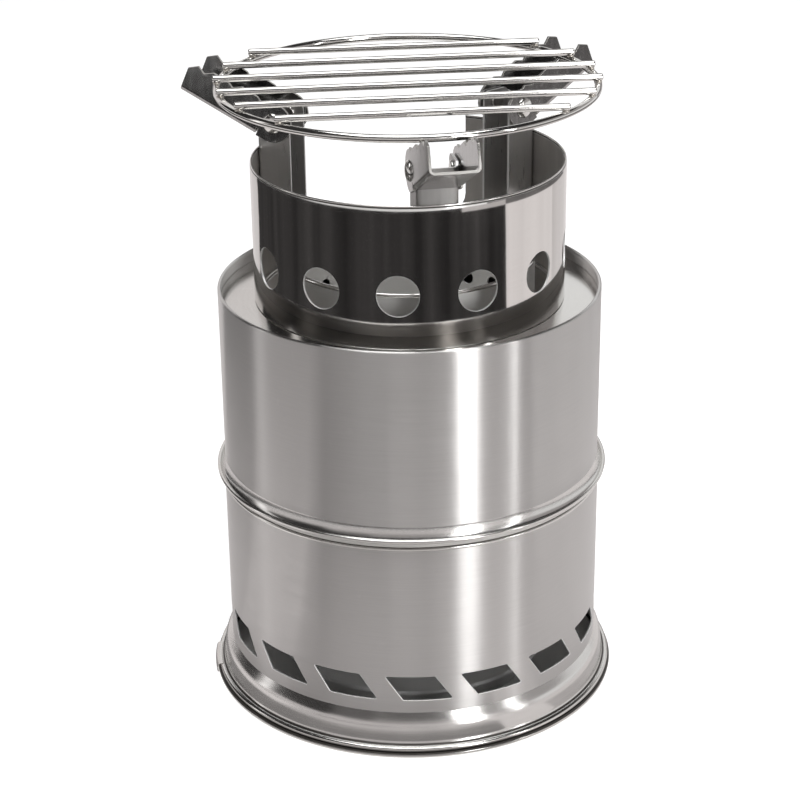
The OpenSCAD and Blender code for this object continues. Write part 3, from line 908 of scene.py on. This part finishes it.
@dataclass
class BodySection:
    """Straight outer drum with its cove, rolled foot, hemmed rim and sunken top plate."""

    wall_r: float = 61.3
    sheet: float = 0.6
    rim_z: float = 136.4
    hem_h: float = 1.6
    cove_z: float = 78.8
    cove_h: float = 4.0
    cove_spread: float = 2.1
    cove_back: Point = (0.9, 0.5)
    roll_r: float = 0.65
    roll_mid_r: float = 63.35
    plate_z: float = 132.2
    plate_out: float = 60.65
    plate_in: float = 40.05
    locator_out: float = 48.55
    locator_in: float = 47.55
    locator_z: float = 133.2
    locator_run: float = 0.3

    def build(self) -> None:
        """Builds and dresses the drum and its plate."""
        self.drum()
        self.plate()

    def drum(self) -> None:
        """Makes the drum's wall as one folded sheet."""
        inner = self.wall_r - self.sheet
        hem_in = self.wall_r - 2 * self.sheet
        cove = quarter_flare(self.wall_r, self.cove_z, self.cove_spread, self.cove_h, 0.25)
        outer = [(self.wall_r, self.rim_z, self.sheet), (self.wall_r, self.cove_z, 0)]
        outer += [(r, z, 0) for r, z in cove]
        inset, drop = (share * self.sheet for share in self.cove_back)
        back = [(r - inset, z - drop, 0) for r, z in reversed(cove[:-2])]
        inside = [(inner, self.cove_z, 0), (inner, self.rim_z - self.hem_h, 0.1)]
        inside += [(hem_in, self.rim_z - self.hem_h, 0.15), (hem_in, self.rim_z, self.sheet * 0.95)]
        wall = lathed(outer + back + inside)
        roll = wire_ring(self.roll_mid_r, self.cove_z - self.cove_h, self.roll_r)
        drum = Workpiece("drum_wall", Body.BODY, Slot.SHELL, SATIN_SHELL, (POLISHED_FLARE,))
        drum.add(wall).zoned(1, lambda p: p.z < self.cove_z).done(["body_shell"])
        Workpiece("drum_rolled_edge", Body.BODY, Slot.SHELL, POLISHED_ROLL).add(roll).done(["body_shell"])

    def plate(self) -> None:
        """Makes the sunken plate, with the bead that centres the crown."""
        low = self.plate_z - self.sheet
        ring = lathed([
            (self.plate_in, low, 0), (self.plate_out, low, 0.2), (self.plate_out, self.plate_z, 0.15),
            (self.locator_out + self.locator_run, self.plate_z, 0.2),
            (self.locator_out, self.locator_z, 0.3), (self.locator_in, self.locator_z, 0.3),
            (self.locator_in - self.locator_run, self.plate_z, 0.2), (self.plate_in, self.plate_z, 0.3),
        ])
        plate = Workpiece("top_plate_pressing", Body.BODY, Slot.POLISHED, BRIGHT_PLATE)
        plate.add(ring).done(["top_plate"])


@dataclass
class FireChamber:
    """Inner fire wall with its rolled rim, air holes and grate ledge."""

    wall_r: float = 40.0
    sheet: float = 0.6
    floor_z: float = 74.15
    rim_z: float = 146.8
    roll_r: float = 0.7
    ledge_r: float = 36.0
    ledge_bend: float = 0.4
    wall_rings: int = 6
    hole_r: float = 2.25
    hole_z: float = 124.2
    hole_count: int = 24

    def build(self) -> None:
        """Makes the wall, its rim and its ledge."""
        pitch = 360 / self.hole_count
        reach = self.wall_r * math.radians(pitch) / 2
        low, high = self.hole_z - reach, self.hole_z + reach
        row = PunchedRow(self.wall_r, low, high, pitch, columns=8, rows=8, rings=2)
        bm = row.panel(row.round_hole(self.hole_r))
        bent_round(bm, self.wall_r)
        repeated(bm, -90.0, pitch, self.hole_count)
        top = self.rim_z - self.roll_r
        drawn_on(bm, level_edges(bm, row.high), [(self.wall_r, (row.high + top) / 2), (self.wall_r, top)])
        fall, bend = (self.floor_z - low) / self.wall_rings, self.ledge_bend
        down = [(self.wall_r, low + fall * i) for i in range(1, self.wall_rings)]
        down += [(self.wall_r, self.floor_z + bend), (self.wall_r - 0.3 * bend, self.floor_z + 0.3 * bend)]
        down += [(self.wall_r - bend, self.floor_z), (self.ledge_r, self.floor_z)]
        drawn_on(bm, level_edges(bm, row.low), down)
        outwards(bm)
        liner = Workpiece("chamber_liner", Body.BODY, Slot.CHAMBER, CHAMBER_PAINTED_LIGHT).add(bm)
        liner.done(["chamber_wall"], wall=self.sheet, edge=0.12, crease=50)
        rim = Workpiece("chamber_rolled_rim", Body.BODY, Slot.CHAMBER, POLISHED_ROLL)
        rim.add(wire_ring(self.wall_r, top, self.roll_r)).done(["chamber_wall"])


@dataclass
class CrownRing:
    """Mirror-polished pot ring with round holes and the feed opening at the back."""

    wall_r: float = 49.5
    sheet: float = 0.6
    low_z: float = 132.5
    rim_z: float = 177.5
    hole_r: float = 6.5
    hole_z: float = 149.4
    hole_pitch: float = 28.65
    hole_count: int = 8
    hole_columns: int = 24
    shoulder: float = 0.19
    shoulder_h: float = 3.2
    rim_r: float = 0.3
    rim_drop: float = 0.85
    groove_z: float = 0.62
    groove_w: float = 0.62
    groove_h: float = 1.1
    middle_angle: float = -80.0
    feed_half: float = 28.86
    feed_z: float = 144.3
    feed_corner: float = 6.0

    def build(self) -> None:
        """Makes the ring as one bent and punched sheet."""
        reach = self.wall_r * math.radians(self.hole_pitch) / 2
        columns = self.hole_columns
        low, high = self.hole_z - reach, self.hole_z + reach
        row = PunchedRow(self.wall_r, low, high, self.hole_pitch, columns, rows=columns, rings=7)
        bm = row.panel(row.round_hole(self.hole_r))
        bent_round(bm, self.wall_r)
        first = self.middle_angle - self.hole_pitch * (self.hole_count - 1) / 2
        repeated(bm, first, self.hole_pitch, self.hole_count)
        top = self.rim_z - self.shoulder_h
        above = [high + (top - high) * i / 11 for i in range(1, 12)] + [self.rim_z - self.rim_drop]
        drawn_on(bm, level_edges(bm, row.high), [(self.wall_r, z) for z in above])
        levels = [low + (high - low) * i / columns for i in range(columns + 1)] + above
        joined(bm, self.feed_sector(levels))
        bmesh.ops.remove_doubles(bm, verts=bm.verts[:], dist=2 * SEAM_GAP)
        below = [low + (self.low_z - low) * i / 4 for i in range(1, 5)]
        drawn_on(bm, level_edges(bm, row.low), [(self.wall_r, z) for z in below])
        self.turn_in(bm, top)
        outwards(bm)
        band = Workpiece("crown_band", Body.CROWN, Slot.MIRROR, MIRROR_CROWN, (), CROWN_INSIDE).add(bm)
        band.done(["crown_ring"], wall=self.sheet, edge=0.3, crease=50)
        self.rim()

    def turn_in(self, bm: Mesh, start: float) -> None:
        """Turns the wall's top slightly inwards, in a smooth shoulder.

        Args:
            bm: The ring's wall.
            start: Height at which the shoulder starts.
        """
        bands = [f for f in bm.faces if f.calc_center_median().z > start]
        upright = {e for f in bands for e in f.edges if abs(e.verts[0].co.z - e.verts[1].co.z) > 0.5}
        bmesh.ops.subdivide_edges(bm, edges=list(upright), cuts=6)
        for vert in bm.verts:
            climb = (vert.co.z - start) / (self.rim_z - start)
            if climb > 0:
                share = 1 - self.shoulder * climb ** 2 / self.wall_r
                vert.co.x, vert.co.y = vert.co.x * share, vert.co.y * share

    def rim(self) -> None:
        """Makes the rolled edge along the wall's top, open where the feed opening is."""
        half = self.hole_pitch * self.hole_count / 2 + self.feed_gap()
        inner = self.wall_r - self.shoulder * 0.6 - self.sheet
        bm = bmesh.new()
        mid = Matrix.Translation((inner + self.rim_r, 0, self.rim_z - self.rim_r))
        upright = mid @ Matrix.Rotation(math.pi / 2, 4, "X")
        bmesh.ops.create_circle(bm, cap_ends=True, radius=self.rim_r, segments=14, matrix=upright)
        joined(bm, flat_outline([
            (inner + 0.1, self.rim_z - self.groove_h, 0),
            (inner + self.groove_w, self.rim_z - self.groove_h, 0),
            (inner + self.groove_w - 0.06, self.rim_z - self.rim_r - 0.06, 0),
            (inner + 0.1, self.rim_z - self.rim_r, 0),
        ]))
        turned(bm, self.middle_angle - half)
        swept(bm, bm.faces[:], 2 * half, 160)
        outwards(bm)
        # The rim's lower side and the groove block under it get painted shade
        rim = Workpiece("crown_rolled_rim", Body.CROWN, Slot.MIRROR, POLISHED_ROLL, (PAINTED_CREVICE_SHADE,)).add(bm)
        rim.zoned(1, lambda p: p.z < self.rim_z - self.groove_z).done(["crown_ring"])

    def feed_gap(self) -> float:
        """Angle from the last hole's panel to the feed opening's edge."""
        sector = 360 - self.hole_pitch * self.hole_count
        return sector / 2 - math.degrees(self.feed_half / self.wall_r)

    def feed_sector(self, levels: Sequence[float]) -> Mesh:
        """Draws the part of the ring that holds the feed opening.

        Args:
            levels: Heights at which its neighbours' rows lie.

        Returns:
            A bmesh on the ring's cylinder.
        """
        half = self.wall_r * math.radians(360 - self.hole_pitch * self.hole_count) / 2
        low, top, corner = levels[0], levels[-1], self.feed_corner
        sheet = flat_outline([
            (-half, low, 0), (half, low, 0), (half, top, 0), (self.feed_half, top, 0),
            (self.feed_half, self.feed_z, corner), (-self.feed_half, self.feed_z, corner),
            (-self.feed_half, top, 0), (-half, top, 0),
        ])
        cuts = [((0, 0, z), (0, 0, 1)) for z in levels[1:-1]]
        count = 50
        cuts += [((half * i / count, 0, 0), (1, 0, 0)) for i in range(1 - count, count)]
        for place, facing in cuts:
            bmesh.ops.bisect_plane(
                sheet, geom=everything(sheet), dist=CUT_GAP, plane_co=place, plane_no=facing,
            )
        bent_round(sheet, self.wall_r)
        turned(sheet, self.middle_angle + 270)
        return sheet


@dataclass
class PotArm:
    """One folding pot arm with its bracket and rivets, at an angle round the crown."""

    side: str
    angle: float
    body: Body
    sheet: float = 0.8
    pivot_r: float = 42.5
    pivot_z: float = 186.3
    width: float = 15.0
    end_r: float = 6.4
    slope: float = 26.0
    reach: float = 31.9
    web_start: float = 4.21
    notch_reach: float = 22.7
    notch_rise: float = 14.1
    notch_pitch: float = 9.5
    notch_step: float = 3.65
    notch_floor: float = 3.4
    notch_lip: float = 0.5
    notch_wall: float = 1.4
    notch_lean: float = 1.0
    horn_h: float = 2.3
    horn_w: float = 3.6
    horn_fall: float = 0.7
    fold_r: float = 1.3
    fold_margin: float = 0.25
    tooth_r: float = 0.1
    end_sweep: float = 202.5
    relief_w: float = 0.8
    relief_h: float = 2.4
    bracket_w: float = 12.6
    web_face_r: float = 48.44
    flange_in: float = 37.24
    bracket_z: float = 153.1
    web_top: float = 188.3
    flange_rise: float = 1.5
    flange_corner: float = 0.6
    head_d: float = 6.4
    head_h: float = 1.2
    shank_d: float = 3.0
    tail_d: float = 4.8
    tail_h: float = 0.8
    rivet_play: float = 0.05

    def build(self) -> None:
        """Builds and dresses the arm, its bracket and its rivets."""
        self.arm()
        self.bracket()
        self.rivets()

    def at_crown(self) -> Matrix:
        """Turn that carries work at +X to this arm's place round the crown."""
        return Matrix.Rotation(math.radians(self.angle), 4, "Z")

    def at_pivot(self) -> Matrix:
        """Move that carries work at the origin to this arm's pivot."""
        return self.at_crown() @ Matrix.Translation((self.pivot_r, 0, self.pivot_z))

    def stepped_edge(self) -> list[Point]:
        """Gives the arm's upper edge.

        Returns:
            Reach and rise of each corner, from the horn in to the pivot's end.
        """
        rake = self.horn_h / 3
        lean = self.notch_reach + self.notch_lean + rake
        corners = [
            (lean + self.horn_w, self.notch_rise + self.horn_h - self.horn_fall),
            (lean, self.notch_rise + self.horn_h),
        ]
        for i in range(3):
            reach, rise = self.notch_reach - i * self.notch_pitch, self.notch_rise - i * self.notch_step
            if i:
                corners.append((reach + self.notch_lean, rise + self.notch_wall))
            corners += [(reach, rise), (reach - self.notch_floor, rise + self.notch_lip)]
        return corners

    def side_plate(self) -> Mesh:
        """Draws one side plate's outline, with a relief cut at the end of its fold.

        Returns:
            A bmesh with one face in the XZ plane at the pivot.
        """
        tilt = math.radians(self.slope)
        along = Vector((math.cos(tilt), 0, math.sin(tilt)))
        up = Vector((-math.sin(tilt), 0, math.cos(tilt)))
        foot = -self.end_r * up
        skin = self.sheet / 2
        bm = bmesh.new()
        first = bm.verts.new(foot)
        sweep = math.radians(self.end_sweep)
        bmesh.ops.spin(bm, geom=[first], cent=(0, 0, 0), axis=(0, 1, 0), angle=sweep, steps=16)
        end = Matrix.Rotation(sweep, 3, "Y") @ foot
        last = min(bm.verts, key=lambda v: (v.co - end).length)
        start, cut = foot + self.web_start * along, self.relief_w * along
        path = [
            start - cut, start - cut + self.relief_h * up, start + self.relief_h * up, start + skin * up,
            foot + self.reach * along + skin * up,
        ]
        path += [Vector((x, 0, z)) for x, z in self.stepped_edge()]
        chain = [first] + [bm.verts.new(p) for p in path] + [last]
        for a, b in zip(chain, chain[1:]):
            bm.edges.new((a, b))
        bmesh.ops.contextual_create(bm, geom=bm.edges[:])
        teeth = [v for v in chain[6:-1] if v.is_valid]
        blunted(bm, teeth, self.tooth_r, 2)
        return bm

    def arm(self) -> None:
        """Makes the arm's channel."""
        tilt = math.radians(self.slope)
        up = Vector((-math.sin(tilt), 0, math.cos(tilt)))
        skin = self.sheet / 2
        plate = self.side_plate()
        self.folded(plate, self.width / 2 - skin, up, skin - self.end_r)
        channel = Workpiece(f"arm_{self.side}_channel", self.body, Slot.DARK, PRESSED_ARM, cut=SHEARED_EDGE)
        channel.add(plate).placed(self.at_pivot())
        channel.done([f"arm_{self.side}"], wall=self.sheet, wall_side=0.0, edge=0.1)

    def folded(self, bm: Mesh, half: float, up: Vector, level: float) -> None:
        """Makes a channel of one side plate: its twin, the web between them and the two folds.

        Args:
            bm: The plate, drawn in the XZ plane.
            half: Half the distance between the plates' middles.
            up: Direction from the web into the channel.
            level: The web's place in that direction.
        """
        bmesh.ops.translate(bm, vec=(0, -half, 0), verts=bm.verts[:])
        twin = bmesh.ops.duplicate(bm, geom=everything(bm))["geom"]
        verts = [g for g in twin if isinstance(g, bmesh.types.BMVert)]
        bmesh.ops.translate(bm, vec=(0, 2 * half, 0), verts=verts)
        folds = [e for e in bm.edges if all(abs(v.co.dot(up) - level) < LEVEL_GAP for v in e.verts)]
        bmesh.ops.bridge_loops(bm, edges=folds)
        outwards(bm)
        blunted(bm, [e for e in folds if e.is_valid], self.fold_r, 5, "EDGES")
        past_fold = up * (level + self.fold_r + self.fold_margin)
        bmesh.ops.bisect_plane(bm, geom=everything(bm), dist=CUT_GAP, plane_co=past_fold, plane_no=up)

    def bracket(self) -> None:
        """Makes the bracket's channel."""
        skin = self.sheet / 2
        face = self.web_face_r - skin
        top, corner = self.web_top + self.flange_rise, self.flange_corner
        flange = flat_outline([
            (face, self.bracket_z, 0), (face, self.web_top, 0), (face - self.flange_rise, top, corner),
            (self.flange_in + self.flange_rise, top, corner), (self.flange_in, self.web_top, corner),
            (self.flange_in, self.bracket_z, corner),
        ])
        self.folded(flange, self.bracket_w / 2 - skin, Vector((-1, 0, 0)), -face)
        channel = Workpiece(f"bracket_{self.side}_channel", Body.CROWN, Slot.DARK, FORMED_BRACKET)
        channel.add(flange).placed(self.at_crown())
        channel.done([f"bracket_{self.side}"], wall=self.sheet, wall_side=0.0, edge=0.13)

    def rivets(self) -> None:
        """Makes the pair of pivot rivets, domed outside and upset inside."""
        head = self.head_d / 2
        seat = self.width / 2 + self.rivet_play
        back = self.bracket_w / 2 - self.sheet - self.rivet_play
        profile = [
            (0, back - self.tail_h, 0), (self.tail_d / 2 - 0.3, back - self.tail_h, 0.2),
            (self.tail_d / 2, back - self.tail_h / 2, 0.2), (self.tail_d / 2 - 0.1, back, 0.1),
            (self.shank_d / 2, back, 0), (self.shank_d / 2, seat, 0), (head, seat, 0.1),
            (head, seat + 0.22, 0.1), (head * 0.86, seat + self.head_h * 0.58, 0.3),
            (head * 0.55, seat + self.head_h * 0.9, 0.5), (head * 0.2, seat + self.head_h, 0.4),
            (0, seat + self.head_h, 0),
        ]
        piece = Workpiece(f"rivets_{self.side}_pair", Body.CROWN, Slot.POLISHED, HEADED_RIVET)
        for way in (-1, 1):
            rivet = lathed(profile, 40)
            outward = Matrix.Rotation(way * math.pi / 2, 3, "X")
            bmesh.ops.rotate(rivet, cent=(0, 0, 0), verts=rivet.verts[:], matrix=outward)
            piece.add(rivet)
        piece.placed(self.at_pivot()).done([f"rivets_{self.side}"])


@dataclass
class Grill:
    """Round wire grill with its six bars and their welds."""

    ring_r: float = 58.63
    ring_z: float = 200.66
    ring_wire: float = 1.2
    bar_z: float = 203.01
    bar_wire: float = 1.1
    bar_count: int = 6
    pitch_share: float = 0.264
    shift_share: float = -0.038
    turn: float = 6.0
    overhang: float = 1.3
    joint_angle: float = 158.0
    shade_band_low: float = -0.36
    shade_band_high: float = 0.14
    weld_r: float = 0.9
    weld_half: float = 0.7
    weld_stretch: float = 1.35

    def build(self) -> None:
        """Builds and dresses the ring, the bars and the welds."""
        self.ring()
        for index in range(self.bar_count):
            self.bar(index)

    def ring(self) -> None:
        """Makes the ring, slightly swollen where its ends are welded."""
        bm = wire_ring(self.ring_r, self.ring_z, self.ring_wire, 256)
        at = Matrix.Rotation(math.radians(self.joint_angle), 3, "Z") @ Vector((self.ring_r, 0, self.ring_z))
        for reach, swell in ((1.6, 1.05), (0.9, 1.08)):
            near = [v for v in bm.verts if (v.co - at).length < reach + self.ring_wire]
            bmesh.ops.scale(bm, vec=(swell, swell, swell), space=Matrix.Translation(-at), verts=near)
        # Faces between these heights get the painted shade band
        low, high = (self.ring_z + share * self.ring_wire for share in (self.shade_band_low, self.shade_band_high))
        ring = Workpiece("grill_ring_wire", Body.GRILL, Slot.WIRE, DRAWN_WIRE, (PAINTED_SHADE_WIRE,)).add(bm)
        ring.zoned(1, lambda p: low < p.z < high).done(["grill_ring"])

    def bar(self, index: int) -> None:
        """Makes one bar with its rounded ends, and the two welds that hold it.

        Args:
            index: The bar's number from the front, from 0.
        """
        offset = self.ring_r * (self.shift_share + self.pitch_share * (index - (self.bar_count - 1) / 2))
        reach = math.sqrt(self.ring_r ** 2 - offset ** 2)
        half = reach + self.overhang
        r = self.bar_wire
        rod = lathed([(0, -half, 0), (r, -half, 0.5), (r, half, 0.5), (0, half, 0)], 24)
        level = Matrix.Rotation(math.pi / 2, 4, "Y")
        turned = Matrix.Rotation(math.radians(self.turn), 4, "Z")
        lying = turned @ Matrix.Translation((0, offset, self.bar_z)) @ level
        name = f"grill_bar_{index + 1}"
        Workpiece(f"{name}_rod", Body.GRILL, Slot.WIRE, DRAWN_WIRE).add(rod).placed(lying).done([name])
        welds = Workpiece(f"{name}_welds", Body.GRILL, Slot.WIRE, WELD_BEAD)
        for way in (-1, 1):
            bead = lathed([
                (0, -self.weld_half, 0), (self.weld_r, -0.6, 0.4), (self.weld_r - 0.15, 0, 0.3),
                (self.weld_r, 0.6, 0.4), (0, self.weld_half, 0),
            ], 20)
            bmesh.ops.scale(bead, vec=(self.weld_stretch, 1.0, 1.0), verts=bead.verts[:])
            place = turned @ Matrix.Translation((way * reach, offset, (self.bar_z + self.ring_z) / 2))
            bmesh.ops.transform(bead, matrix=place, verts=bead.verts[:])
            welds.add(bead)
        welds.done([name])


@dataclass
class HiddenPieces:
    """CAD solids whose shape is right, which only get a better finish."""

    finishes: dict[str, SteelFinish] = field(default_factory=lambda: {
        # floor_pan and ash_tray get the painted light finish
        "floor_pan": PAINTED_LIGHT_INSIDE, "ash_tray": PAINTED_LIGHT_INSIDE,
        "body_floor": MILL_SHEET, "fire_grate": MILL_SHEET,
    })

    def build(self) -> None:
        """Puts the finish into each solid's material slots."""
        for name, finish in self.finishes.items():
            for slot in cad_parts[name].material_slots:
                slot.material = finish.material()
            log.info("%s keeps its CAD shape, finish %s", name, finish.name)


# The studio


@dataclass
class SoftBox:
    """Lamp with a rectangular soft front that faces the stove, in metres and degrees."""

    name: str
    azimuth: float
    height: float
    distance: float
    size: Point
    watts: float
    aim_z: float = 0.1

    def hang(self) -> None:
        """Hangs the lamp."""
        data = bpy.data.lights.new(self.name, "AREA")
        data.shape, data.size, data.size_y = "RECTANGLE", *self.size
        data.energy = self.watts
        lamp = shown(self.name, data)
        turn, lift = math.radians(self.azimuth), math.radians(self.height)
        away = Vector((math.cos(turn) * math.cos(lift), math.sin(turn) * math.cos(lift), math.sin(lift)))
        facing = away.to_track_quat("Z", "Y").to_matrix().to_4x4()
        lamp.matrix_world = Matrix.Translation(Vector((0, 0, self.aim_z)) + away * self.distance) @ facing


@dataclass
class Card:
    """Grey studio card that only polished steel sees, drawn by a line swept round the stove."""

    name: str
    start: Point
    end: Point
    azimuth: float
    sweep: float
    shade: float
    streaks: float
    tint: Colour = (1.0, 0.955, 0.95)
    steps: int = 72
    streak_count: float = 5.0

    def stand(self) -> None:
        """Stands the card in the studio."""
        bm = bmesh.new()
        bm.edges.new([bm.verts.new((r, 0, z)) for r, z in (self.start, self.end)])
        turned(bm, self.azimuth)
        swept(bm, bm.verts[:] + bm.edges[:], self.sweep, self.steps, use_merge=self.sweep == 360)
        mesh = meshed(self.name, bm)
        mesh.materials.append(self.material())
        card = shown(self.name, mesh)
        card.visible_camera = card.visible_diffuse = card.visible_shadow = False

    def material(self) -> bpy.types.Material:
        """Makes the card's shade, in streaks that run away from the stove.

        Returns:
            The material.
        """
        made = bpy.data.materials.new(self.name)
        nodes = Nodes.on(made)
        direction = nodes.add("ShaderNodeVectorMath", operation="NORMALIZE")
        nodes.wire(nodes.add("ShaderNodeTexCoord").outputs["Object"], direction.inputs[0])
        streaks = nodes.noise(direction.outputs[0], self.streak_count, 2.0)
        swing = 3 * self.shade * self.streaks
        level = nodes.sum("MULTIPLY_ADD", streaks, swing, self.shade - swing / 2)
        glow = nodes.add("ShaderNodeEmission")
        glow.inputs["Color"].default_value = (*self.tint, 1)
        nodes.wire(nodes.sum("MAXIMUM", level, 0.0), glow.inputs["Strength"])
        nodes.end(glow.outputs[0])
        return made


LAMPS = (
    SoftBox("lamp_right_wide", -58.5, 15.0, 1.0, (0.19, 0.75), 3.4),
    SoftBox("lamp_right_strip", -30.5, 15.0, 1.0, (0.045, 0.75), 0.8),
    SoftBox("lamp_left", 176.0, 15.0, 1.0, (0.11, 0.6), 0.2),
    SoftBox("lamp_top", -90.0, 82.0, 1.1, (0.9, 0.9), 8.5),
)
CARDS = (
    Card("sheet_under_stove", (0.0676, 0.0001), (0.36, 0.0001), 0.0, 360.0, 0.72, 0.15),
    Card("sheet_right", (0.070, 0.0004), (0.36, 0.0004), -60.0, 120.0, 0.92, 0.05),
    Card("sheet_left", (0.070, 0.0004), (0.36, 0.0004), 110.0, 62.0, 0.82, 0.05),
    Card("sheet_by_left", (0.070, 0.0004), (0.36, 0.0004), 172.0, 42.0, 1.0, 0.05),
    # Painted shadow: two darker rings of card round the foot, which the polished skirt reflects as the
    # floor's shade next to the stove
    Card("foot_shadow_card", (0.0676, 0.0005), (0.083, 0.0005), 120.0, 180.0, 0.30, 0.1),
    Card("foot_shadow_card_right", (0.0676, 0.0005), (0.083, 0.0005), -40.0, 100.0, 0.62, 0.1),
    Card("sheet_front", (0.17, 0.0004), (0.36, 0.0004), 220.0, 38.0, 0.42, 0.1),
    Card("dark_floor", (0.36, 0.0006), (0.90, 0.0006), 134.0, 206.0, 0.05, 0.9),
    Card("light_corner", (0.61, 0.0010), (0.90, 0.0010), 306.0, 34.0, 0.75, 0.1),
    Card("light_floor", (0.36, 0.0006), (0.62, 0.0006), -20.0, 52.0, 1.08, 0.1),
    Card("side_floor", (0.36, 0.0006), (0.62, 0.0006), 32.0, 102.0, 0.84, 0.1),
    Card("mid_floor", (0.62, 0.0006), (1.30, 0.0006), -35.0, 90.0, 0.22, 0.3),
    Card("far_floor", (0.62, 0.0006), (1.30, 0.0006), 55.0, 79.0, 0.80, 0.1),
    Card("low_wall", (1.6, 0.0), (1.6, 0.45), 134.0, 206.0, 0.75, 0.1),
    Card("grey_wall", (1.6, 0.45), (1.6, 1.15), 134.0, 276.0, 0.42, 0.2),
    Card("dark_left", (1.55, 0.06), (1.55, 1.2), 134.0, 35.0, 0.03, 0.4),
    Card("left_wall", (1.54, 0.0), (1.54, 0.9), 95.0, 39.0, 0.85, 0.1),
    Card("dark_front", (1.55, 0.40), (1.55, 1.2), 181.0, 39.0, 0.04, 0.4),
    Card("mid_front", (1.55, 0.70), (1.55, 1.2), 220.0, 26.0, 0.16, 0.3),
    Card("back_wall", (1.6, 0.0), (1.6, 0.5), 50.0, 84.0, 0.30, 0.2),
    Card("dark_ceiling", (1.6, 1.15), (1.0, 2.3), 0.0, 360.0, 0.04, 0.4),
)


@dataclass
class Studio:
    """Camera, floor, lamps and cards round the stove, in metres."""

    eye: tuple[float, float, float] = (-0.00348, -0.63564, 0.37408)
    pitch: float = 23.756
    roll: float = 0.73
    lens: float = 95.32
    floor_glow: float = 0.70
    surround: float = 0.30
    floor_r: float = 4.0
    floor_z: float = -0.0003
    floor_grey: float = 0.62

    def build(self) -> None:
        """Sets up the whole studio."""
        self.camera()
        self.world()
        self.floor()
        for lamp in LAMPS:
            lamp.hang()
        for card in CARDS:
            card.stand()
        bpy.context.scene.view_settings.view_transform = "Standard"

    def camera(self) -> None:
        """Places the camera at the photograph's viewpoint."""
        data = bpy.data.cameras.new("photo_camera")
        data.sensor_width, data.lens = 36.0, self.lens
        cam = shown("photo_camera", data)
        cam.matrix_world = (
            Matrix.Translation(self.eye) @ Matrix.Rotation(math.radians(90 - self.pitch), 4, "X")
            @ Matrix.Rotation(math.radians(-self.roll), 4, "Z")
        )
        bpy.context.scene.camera = cam

    def seen(self, nodes: Nodes) -> Socket:
        """Gives 1 for rays that show the surroundings: camera, glossy and transmission."""
        path = nodes.add("ShaderNodeLightPath")
        shiny = nodes.sum("MAXIMUM", path.outputs["Is Glossy Ray"], path.outputs["Is Transmission Ray"])
        return nodes.sum("MAXIMUM", path.outputs["Is Camera Ray"], shiny)

    def world(self) -> None:
        """Makes a white surround that lights softly."""
        world = bpy.data.worlds.new("studio_surround")
        bpy.context.scene.world = world
        nodes = Nodes.on(world)
        glow = nodes.add("ShaderNodeBackground")
        glow.inputs["Color"].default_value = (1, 1, 1, 1)
        level = nodes.sum("MULTIPLY_ADD", self.seen(nodes), 1 - self.surround, self.surround)
        nodes.wire(level, glow.inputs["Strength"])
        nodes.end(glow.outputs[0], "ShaderNodeOutputWorld")

    def floor(self) -> None:
        """Lays a pale floor that shows white and keeps the stove's shadow."""
        bm = bmesh.new()
        bmesh.ops.create_circle(bm, cap_ends=True, radius=self.floor_r, segments=64)
        bmesh.ops.translate(bm, vec=(0, 0, self.floor_z), verts=bm.verts[:])
        mesh = meshed("pale_floor", bm)
        material = bpy.data.materials.new("pale_floor")
        nodes = Nodes.on(material)
        matt = nodes.add("ShaderNodeBsdfDiffuse")
        matt.inputs["Color"].default_value = (*[self.floor_grey] * 3, 1)
        glow = nodes.add("ShaderNodeEmission")
        nodes.wire(nodes.sum("MULTIPLY", self.seen(nodes), self.floor_glow), glow.inputs["Strength"])
        both = nodes.add("ShaderNodeAddShader")
        nodes.wire(matt.outputs[0], both.inputs[0])
        nodes.wire(glow.outputs[0], both.inputs[1])
        nodes.end(both.outputs[0])
        mesh.materials.append(material)
        shown("pale_floor", mesh)


def main() -> None:
    """Builds the stove's sections from the ground up, then the studio, and logs each piece's face count."""
    logging.basicConfig(level=logging.INFO, format="%(name)s: %(message)s")
    arms = [
        PotArm("front", -80.0, Body.ARM_FRONT), PotArm("right", 40.0, Body.ARM_RIGHT),
        PotArm("left", 160.0, Body.ARM_LEFT),
    ]
    pieces = (BaseSection(), BodySection(), FireChamber(), HiddenPieces(), CrownRing(), *arms, Grill())
    for section in (*pieces, Studio()):
        section.build()
        log.info("%s built", type(section).__name__)


if __name__ == "__main__":
    main()
